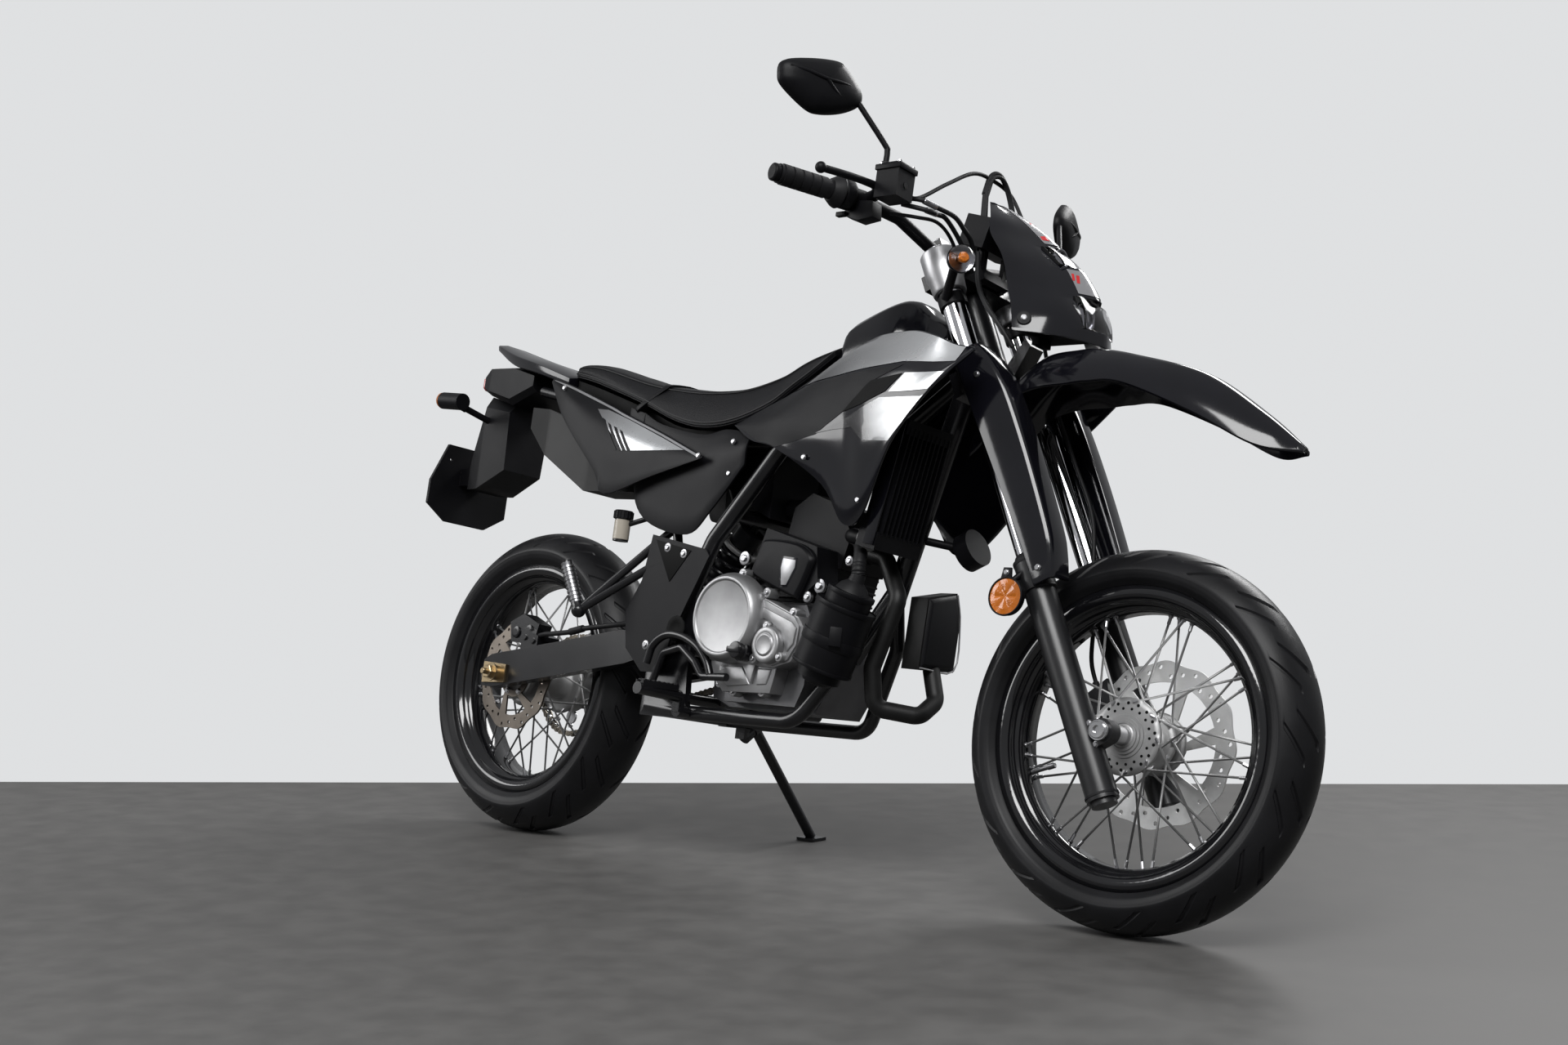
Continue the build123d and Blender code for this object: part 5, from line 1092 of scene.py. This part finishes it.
# Fork, bar and front brake dressing
caps, dust, pinch, sleeves = Form(), Form(), Form(), Form()
for side in SIDES:
    outward = (0, side, 0)
    sleeves.turned([(0, 22), (0, 28), (4, 29), (26, 30.5), (34, 33), (78, 33.2), (81, 31), (81, 22)],
                   fork(FORK_N, side * FORK_Y, 1112), UP, 44, loop=True)
    for form, s, n, profile in (
            (caps, 1190, 36, [(0, 20.4), (6, 20.4), (8, 18), (8, 12)]),
            (caps, 1197, 6, [(0, 12), (9, 12), (10, 11)]),
            (dust, 600, 40, [(0, 29), (2, 29.4), (6, 29.4), (9, 26), (14, 23.5), (16, 21), (16, 20.6)]),
            (dust, 212, 40, [(0, 26.2), (3, 26.2)])):
        form.turned(profile, fork(FORK_N, side * FORK_Y, s), UP, n)
    pinch.bolts([fork(-11, side * 78, s) for s in (940, 963, 1150, 1166)], -AHEAD, 4)
    pinch.bolts([fork(40, side * 113, s) for s in (286, 320)], outward, 4)
    pinch.bolts([fork(n, side * y, 1252) for n in (-15, 3) for y in (36, 54)], UP, 3.6)
    pinch.bolts([fork(44, side * 134, 575), fork(40, side * 134, 930)], outward, 4.5)
steered("fork_caps", caps, STEEL)
steered("upper_clamp_sleeves", sleeves, CLAMP, bevel=0.6)
steered("fork_dust_seals", dust, RUBBER)
steered("steering_bolts", pinch, BOLT)
HOSE = [(1016, -247, 1136), (1016, -205, 1138), (1016, -130, 1190), (1016, -60, 1234), (1016, 0, 1242),
        (1020, 52, 1232), (1048, 62, 1180), (1080, 67, 1110), (1097, 74, 1012), fork(58, 79, 930),
        fork(58, 79, 820), fork(58, 79, 705), fork(32, 67, 604), fork(8, 66.5, 530), fork(-16, 69, 475),
        fork(-20, 69, 427)]
hose = Form().tube(HOSE, 3.6, 12, 8)
hose.rod(HOSE[0], (1016, -236, 1136), 5.5, 16, 0.8)
hose.rod(HOSE[-1], fork(-20, 69, 441), 5.5, 16, 0.8)
steered("brake_hose", hose, RUBBER, ("front_brake_hose",))
stem_nut = Form().turned([(0, 19), (3, 19), (3, 15)], fork(0, 0, 1184), UP, 32)
stem_nut.turned([(2, 15), (12, 15), (14, 13)], fork(0, 0, 1184), UP, 6)
steered("stem_nut", stem_nut, STEEL)

# Grips and controls, along the bar's ends
ribs, ends, levers, switch_rims, housings = Form(), Form(), Form(), Form(), Form()
for side in SIDES:
    tip, root = Vector((880, side * 400, 1127)), Vector((925, side * 262, 1131))
    way = (root - tip).normalized()
    ribs.turns([(0, 15), (0.7, 17.8), (14.6, 17.8), (15.3, 15)],
               [tip + way * (3 + i * 17.6) for i in range(5)], way, 40, loop=True)
    ribs.turned([(0, 16), (0, 19), (12, 26.5), (17, 28), (19, 27), (19, 16)], tip + way * 98, way, 40,
                loop=True)
    ends.turned([(0, 12), (2, 15), (12, 15), (13, 12)], tip - way * 15, way, 32)
    lever = [(951, side * 240, 1136), (984, side * 262, 1138), (982, side * 330, 1133),
             (966, side * 398, 1128)]
    levers.tube(lever, 6.3, 14, 8)
    levers.ball(lever[-1], 9.6)
    switch_rims.rod((953, side * 243, 1149), (953, side * 243, 1153), 7, 16, 1)
    switch_rims.turns([(0, 20.2), (0, 21), (3, 21), (3, 20.2)], [tip + way * t for t in (121, 139)], way, 32,
                      loop=True)
    housings.turned([(0, 18), (0, 24), (2, 25.5), (18, 25.5), (20, 24), (20, 18)], tip + way * 119, way, 36,
                    loop=True)
    housings.plate([(908, 1101), (914, 1119), (936, 1124), (968, 1120), (972, 1092), (940, 1088)],
                   side * 236, side * 262)
    housings.block((896, 916), (side * 262 - 5, side * 262 + 5), (1098, 1106))
steered("grip_ribs", ribs, RUBBER)
steered("bar_ends", ends, SATIN, bevel=0.8)
steered("levers", levers, SATIN)
steered("switch_rims", switch_rims, SHADE_BLACK)
steered("switch_housings", housings, SATIN, bevel=1.2)
lid = Form().block((991, 1043), (-295, -245), (1158.3, 1168))
lid.block((995, 1039), (-291, -249), (1168, 1171))
steered("brake_pot_lid", lid, SATIN, bevel=2.0)
pot_window = Form().turned([(0, 6), (1.2, 6), (1.2, 4.8)], (1040.2, -270, 1134), FORWARD, 24)
steered("brake_pot_window", pot_window, LENS)
pot_screws = Form().bolts([(x, y, 1170.8) for x in (998, 1036) for y in (-288, -252)], UPWARD, 3)
steered("brake_pot_screws", pot_screws, STEEL)

# Mirrors
MIRROR_TOE = radians(20)
MIRROR_OUTLINE = [(3, 1284), (8, 1266), (38, 1246), (76, 1233), (104, 1234), (151, 1258), (162, 1276),
                  (157, 1300), (110, 1319), (58, 1330), (38, 1322), (12, 1300)]


def on_mirror(side, w, z, depth, size=1.0):
    """A point w along a mirror's head, at height z and some depth ahead of its glass."""
    out = Vector((-sin(MIRROR_TOE), side * cos(MIRROR_TOE), 0))
    ahead = Vector((cos(MIRROR_TOE), side * sin(MIRROR_TOE), 0))
    return Vector((945, side * 300, 1282 + (z - 1282) * size)) + out * (82 + (w - 82) * size) + ahead * depth


glasses, heads, creases, boots = Form(), Form(), Form(), Form()
mirror_edge = closed_line(MIRROR_OUTLINE, 6)
for side in SIDES:
    heads.rings([[on_mirror(side, *p, depth, size) for p in mirror_edge] for depth, size in (
        (0, 0.95), (0, 0.985), (3, 1.0), (10, 0.99), (18, 0.9), (24, 0.72), (28, 0.45), (29, 0.2))])
    heads.tube([(990, side * 268, 1175), (990, side * 268, 1200), (986, side * 273, 1212),
                (952, side * 313, 1272)],
               5, 16, 6)
    glasses.rings([[on_mirror(side, *p, depth, 0.93) for p in mirror_edge] for depth in (-0.6, 0.6)])
    for crease in (((148, 1291, 18), (120, 1289, 26.4), (83, 1286, 29.5), (52, 1289, 26.4), (22, 1291, 18)),
                   ((83, 1286, 29.5), (64, 1272, 27), (36, 1260, 18))):
        creases.tube([on_mirror(side, *p) for p in crease], 3.2, 10, 6)
    boots.turned([(0, 10.5), (2, 11.5), (30, 10.5), (38, 9), (40, 5)], (990, side * 268, 1142), UPWARD, 28)
steered("mirror_heads", heads, SATIN, ("mirrors",), angle=50)
steered("mirror_creases", creases, SATIN)
steered("mirror_boots", boots, RUBBER)
steered("mirror_glasses", glasses, MIRROR, bevel=0.3)

# Cables from the controls, the pair that arches over the mask, and the lamps' cable
cables, ferrules = Form(), Form()
for points, r in (
        ([(1010, -232, 1130), (1042, -225, 1125), (1053, -195, 1121), (1064, -160, 1116), (1064, -130, 1104),
          (1060, -100, 1092), (1052, -70, 1060)], 4.2),
        ([(1010, -236, 1118), (1048, -222, 1109), (1055, -195, 1109), (1052, -165, 1111), (1050, -115, 1086),
          (1046, -70, 1050)], 4.2),
        ([(985, -232, 1106), (1030, -215, 1100), (1044, -180, 1102), (1037, -130, 1093),
          (1034, -90, 1062)], 3.2),
        ([(960, 232, 1122), (1005, 215, 1128), (1040, 170, 1124), (1052, 120, 1100), (1046, 70, 1056)], 4.2),
        ([(1034, -44, 1075), (1028, -32, 1142), (1018, -22, 1215), (1018, -10, 1248), (1022, 10, 1254),
          (1026, 32, 1232), (1032, 48, 1190), (1040, 58, 1130), (1046, 62, 1070)], 4.6),
        ([(1046, -52, 1075), (1038, -38, 1142), (1026, -28, 1212), (1024, -12, 1242), (1028, 10, 1247),
          (1032, 30, 1226), (1038, 44, 1186), (1048, 54, 1130), (1054, 58, 1070)], 3.6),
        ([(1066, -86, 1078), (1088, -104, 1017), (1112, -110, 979), (1148, -106, 935),
          (1168, -96, 905)], 4.4)):
    cables.tube(points, r, 12, 8)
for start, end in (((1044, -223, 1124.6), (1053, -197, 1121)), ((1049, -220, 1109), (1055, -197, 1109))):
    ferrules.rod(start, end, 5.2, 16, 0.8)
cables.rod((1019, -23, 1208), (1017.6, -12, 1243), 6.8, 16, 1.0)
steered("control_cables", cables, RUBBER)
steered("cable_ferrules", ferrules, BOLT)

SCREEN_REAR, SCREEN_FRONT = Vector((1012, 0, 1163.8)), Vector((1064, 0, 1150.2))
SCREEN_UP = Vector((0.26, 0, 0.97))
screen = []
for inset_share, lift, half in ((0.1, 0.6, 46), (0.12, 2, 45)):
    corners = ((inset_share, -half), (inset_share, half), (1 - inset_share, half), (1 - inset_share, -half))
    screen.append([SCREEN_REAR.lerp(SCREEN_FRONT, t) + SCREEN_UP * lift + Vector((0, y, 0))
                   for t, y in corners])
steered("instrument_screen", Form().rings(screen), GLOSS, bevel=0.8)

caliper_bolts = Form()
for n, s in ((-38, 372), (-26, 400)):
    caliper_bolts.turned([(0, 13), (3, 13), (4, 11), (4, 7)], fork(n, 92.5, s), LEFT, 28)
    caliper_bolts.bolts([fork(n, 96, s)], LEFT, 4)
caliper_bolts.bolts([fork(-10, 92.5, 392), fork(12, 92.5, 385)], LEFT, 5)
steered("front_caliper_bolts", caliper_bolts, STEEL)

# Axle ends
front_nut = Form().turned([(0, 15.5), (5, 15.5), (5, 12)], (WHEELBASE, -118.1, FRONT_R), RIGHT, 32)
front_nut.turned([(0, 6.4), (0, 13), (6, 13), (7, 12), (7, 6.4)], (WHEELBASE, -120, FRONT_R), RIGHT, 40,
                 loop=True)
steered("front_axle_nut", front_nut, STEEL)
nuts = Form()
for side in SIDES:
    outward = (0, side, 0)
    nuts.turned([(0, 18), (2.5, 18), (2.5, 14)], (0, side * 140.5, REAR_R), outward, 36)
    nuts.nut((0, side * 142.5, REAR_R), outward, 14, 11)
    nuts.turned([(0, 6), (15, 6), (16, 5)], (0, side * 148, REAR_R), outward, 20)
    nuts.nut((-50, side * 109, REAR_R), BACKWARD, 8, 8)
    nuts.rod((-72, side * 109, REAR_R), (-45, side * 109, REAR_R), 4, 16, 0.6)
    nuts.nut((PIVOT[0], side * 118, PIVOT[1]), outward, 11, 9)
piece("axle_nuts", nuts, ZINC)

# Swingarm, rear brake and shock dressing
chain_slider = Form().plate([(120, 394), (400, 428), (396, 440), (116, 406)], 78, 100)
piece("chain_slider", chain_slider, RUBBER, bevel=1.5)
caliper_bolts = Form().turns([(0, 12), (3, 12), (4, 10), (4, 6)], [(4, -94.5, 392), (44, -94.5, 396)],
                             RIGHT, 28)
caliper_bolts.bolts([(62, -116, 380), (88, -116, 374)], RIGHT, 5)
piece("rear_caliper_bolts", caliper_bolts, FRAME)
REAR_LINE = [(96, -108, 386), (122, -116, 389), (151, -118, 391), (198, -118, 396), (229, -118, 403),
             (294, -118, 411), (357, -118, 418), (398, -116, 424)]
rear_line = Form().tube(REAR_LINE, 5, 14, 6)
rear_line.rod(REAR_LINE[3], (236, -118, 404.4), 7.2, 18, 1.0)
piece("rear_brake_line", rear_line, RUBBER)
SHOCK_FOOT, SHOCK_TOP = Vector((385, 0, 417.6)), Vector((560, 0, 640))
way = (SHOCK_TOP - SHOCK_FOOT).normalized()
u, v = across(way)
COIL_FOOT, COIL_LENGTH, COIL_R, COIL_POINTS = 52, 158, 33, 120
coil = []
for k in range(COIL_POINTS + 1):
    turn = 2 * pi * k / 16
    coil.append(SHOCK_FOOT + way * (COIL_FOOT + COIL_LENGTH * k / COIL_POINTS)
                + (u * cos(turn) + v * sin(turn)) * COIL_R)
piece("shock_spring", Form().tube(coil, 5, 10, 2), FRAME)
spring_seats = Form().turns([(-4, 28), (-4, 38), (4, 38), (4, 28)],
                            [SHOCK_FOOT + way * t for t in (46, 214)], way, 36, loop=True)
piece("spring_seats", spring_seats, CAST, bevel=0.6)
POT_X, POT_Y = 312, -122
pot_cap = Form().turned([(0, 18.5), (14, 18.5), (16, 17), (16, 8)], (POT_X, POT_Y, 618), UPWARD, 32)
for x, y in circle(POT_X, POT_Y, 18.4, 18):
    pot_cap.rod((x, y, 619), (x, y, 632), 1.3, 6)
piece("rear_pot_cap", pot_cap, SATIN)
piece("rear_pot_window", Form().rod((POT_X, POT_Y, 577), (POT_X, POT_Y, 617), 15.6, 32, 1.5), FLUID)

# Frame guards, panel screws and peg rubbers
trim, panel_screws, teeth = Form(), Form(), Form()
PEG_SLEEVE = [(0, 11.3)]
for k in range(9):
    PEG_SLEEVE += [(4 + k * 8, 11.3), (5 + k * 8, 13), (9 + k * 8, 13), (10 + k * 8, 11.3)]
PEG_SLEEVE += [(80, 12), (82, 9), (82, 0.01)]
for side in SIDES:
    outward = (0, side, 0)
    y = side * 132.4
    trim.plate([(426, 577), (524, 557), (476, 498)], y, y + side * 1.2)
    trim.turned([(0, 24), (2, 24), (2.6, 22), (2.6, 14), (1.6, 12), (1.6, 0.01)], (510, y - side * 0.6, 413),
                outward, 12)
    guard_spots = ((460, 562), (505, 551), (435, 379))
    panel_screws.turns([(-1, 8.5), (1.4, 8.5), (1.8, 7)], [(x, y, z) for x, z in guard_spots], outward, 24)
    panel_screws.bolts([(x, y + side * 1.4, z) for x, z in guard_spots], outward, 4.4)
    for x, depth, z in ((526, 149.5, 731), (96, 136, 884), (594, 131, 759), (593, 131, 700), (800, 158, 719),
                        (947, 170, 640), (959, 187, 809)):
        panel_screws.bolts([(x, side * depth, z)], outward, 4.2)
    peg, peg_end = Vector((290, side * 182, 432)), Vector((252, side * 196, 522))
    panel_screws.turned(PEG_SLEEVE, peg.lerp(peg_end, 0.16), peg_end - peg, 28)
    for k in range(8):
        middle = side * (152 + k * 11)
        teeth.block((537, 555), (middle - 2, middle + 2), (302, 311))
    for x in (536, 553):
        teeth.block((x, x + 3), (side * 148, side * 236), (298, 309))
piece("peg_teeth", teeth, FRAME)
piece("guard_insets", trim, SHADE_BLACK, bevel=0.4)
HEEL = [(463, 345), (474, 378), (505, 398), (548, 397), (590, 381), (618, 356), (632, 332)]
piece("heel_guard", Form().tube([(x, -150, z) for x, z in HEEL], 7.5, 14, 8), FRAME)
piece("panel_screws", panel_screws, BOLT)
steered("mask_films", Form(mask_film(1103, 1186), mask_film(1007, 1060)), MASK_FILM)
accents, washers, mask_bolts, plate_screws = Form(), Form(), Form(), Form()
for side in SIDES:
    for corners in ([(5, 1152), (10, 1152), (21, 1114), (12, 1114)],
                    [(16, 1046), (20, 1046), (26, 1030), (22, 1030)],
                    [(22, 1048), (25, 1048), (30, 1034), (27, 1034)]):
        patch = mask_patch([(side * y, z) for y, z in corners])
        accents.add(patch.verts, patch.faces)
    way = Vector((0.55, side * 0.83, 0)).normalized()
    seat = Vector((1195, side * 113.5, 947))
    washers.turned([(-1, 12), (1.5, 12), (3, 10), (3, 4)], seat, way, 32)
    mask_bolts.bolts([seat + way * 3], way, 4.2)
    plate_screws.bolts([(-357.5, side * 60, 690)], BACKWARD, 4)
steered("mask_accents", accents, ACCENT)
steered("mask_washers", washers, RUBBER)
steered("mask_bolts", mask_bolts, BOLT)
piece("plate_screws", plate_screws, STEEL)

# Floor, backdrop, light and camera
FLOOR = finish("dark_floor", None, (0.085, 0.083, 0.080), 0.6, spread=0.12, grain=0.1, grain_scale=300)
PALE = (0.74, 0.75, 0.76, 1)
CAMERA = Vector((2.31997, -2.62255, 0.60801))
YAW, PITCH, ROLL = 0.75960, -0.004765, 0.001578
AWAY, ASIDE = Vector((-sin(YAW), cos(YAW), 0)), Vector((cos(YAW), sin(YAW), 0))
WALL_DISTANCE, WALL_HALF, WALL_UP, FLOOR_HALF = 4.52, 12, Vector((0, 0, 9)), 14


def ground(name, corners, material):
    mesh = bpy.data.meshes.new(name)
    mesh.from_pydata(corners, [], [(0, 1, 2, 3)])
    mesh.materials.append(material)
    obj = bpy.data.objects.new(name, mesh)
    scene.collection.objects.link(obj)


floor_corners = [(x * FLOOR_HALF, y * FLOOR_HALF, -0.0005) for x, y in ((-1, -1), (1, -1), (1, 1), (-1, 1))]
ground("floor", floor_corners, FLOOR)

# A wall that only a camera in front of it sees, so it hides nothing from behind and casts no shade
WALL = bpy.data.materials.new("pale_wall")
WALL.use_nodes = True
tree = WALL.node_tree
tree.nodes.remove(tree.nodes["Principled BSDF"])
in_front, show = add_node(tree, "Math"), add_node(tree, "MixShader")
in_front.operation = "SUBTRACT"
in_front.use_clamp = True
link(tree, add_node(tree, "LightPath"), "Is Camera Ray", in_front, 0)
link(tree, add_node(tree, "NewGeometry"), "Backfacing", in_front, 1)
link(tree, in_front, "Value", show, "Fac")
link(tree, add_node(tree, "BsdfTransparent"), "BSDF", show, 1)
link(tree, add_node(tree, "Emission", Color=PALE), "Emission", show, 2)
link(tree, show, "Shader", tree.nodes["Material Output"], "Surface")
wall_foot = Vector((CAMERA.x, CAMERA.y, -0.001)) + AWAY * WALL_DISTANCE
left_foot, right_foot = wall_foot - ASIDE * WALL_HALF, wall_foot + ASIDE * WALL_HALF
ground("wall", [left_foot, right_foot, right_foot + WALL_UP, left_foot + WALL_UP], WALL)

# Soft light from all round, which the camera itself sees as the wall's grey
world = bpy.data.worlds.new("studio")
scene.world = world
world.use_nodes = True
tree = world.node_tree
sky = tree.nodes["Background"]
sky.inputs["Color"].default_value = (0.80, 0.81, 0.83, 1)
sky.inputs["Strength"].default_value = 0.42
mix = add_node(tree, "MixShader")
link(tree, add_node(tree, "LightPath"), "Is Camera Ray", mix, "Fac")
link(tree, sky, "Background", mix, 1)
link(tree, add_node(tree, "Background", Color=PALE, Strength=1.0), "Background", mix, 2)
link(tree, mix, "Shader", tree.nodes["World Output"], "Surface")

for name, place, target, size, watts in (
        ("key", (2.2, -3.2, 4.2), (0.1, 0, 0.5), (3.0, 2.0), 230),
        ("fill", (-3.5, -3.0, 2.6), (0, 0, 0.6), (2.4, 2.4), 90),
        ("rim", (0.5, 3.6, 3.4), (0, 0, 0.7), (3.0, 1.2), 140)):
    light = bpy.data.lights.new(name, "AREA")
    light.shape = "RECTANGLE"
    light.size, light.size_y = size
    light.energy = watts
    obj = bpy.data.objects.new(name, light)
    obj.location = place
    obj.rotation_euler = (Vector(target) - Vector(place)).to_track_quat("-Z", "Y").to_euler()
    scene.collection.objects.link(obj)

view = bpy.data.cameras.new("photo_view")
view.lens = 42.87
view.sensor_width = 36.0
view.sensor_fit = "HORIZONTAL"
view.clip_start, view.clip_end = 0.05, 60
camera = bpy.data.objects.new("photo_view", view)
forward = AWAY * cos(PITCH) + Vector((0, 0, -sin(PITCH)))
up = ASIDE.cross(forward)
image_x = ASIDE * cos(ROLL) + up * sin(ROLL)
image_y = up * cos(ROLL) - ASIDE * sin(ROLL)
camera.matrix_world = Matrix((image_x, image_y, -forward)).transposed().to_4x4()
camera.location = CAMERA
scene.collection.objects.link(camera)
scene.camera = camera
scene.view_settings.view_transform = "Standard"
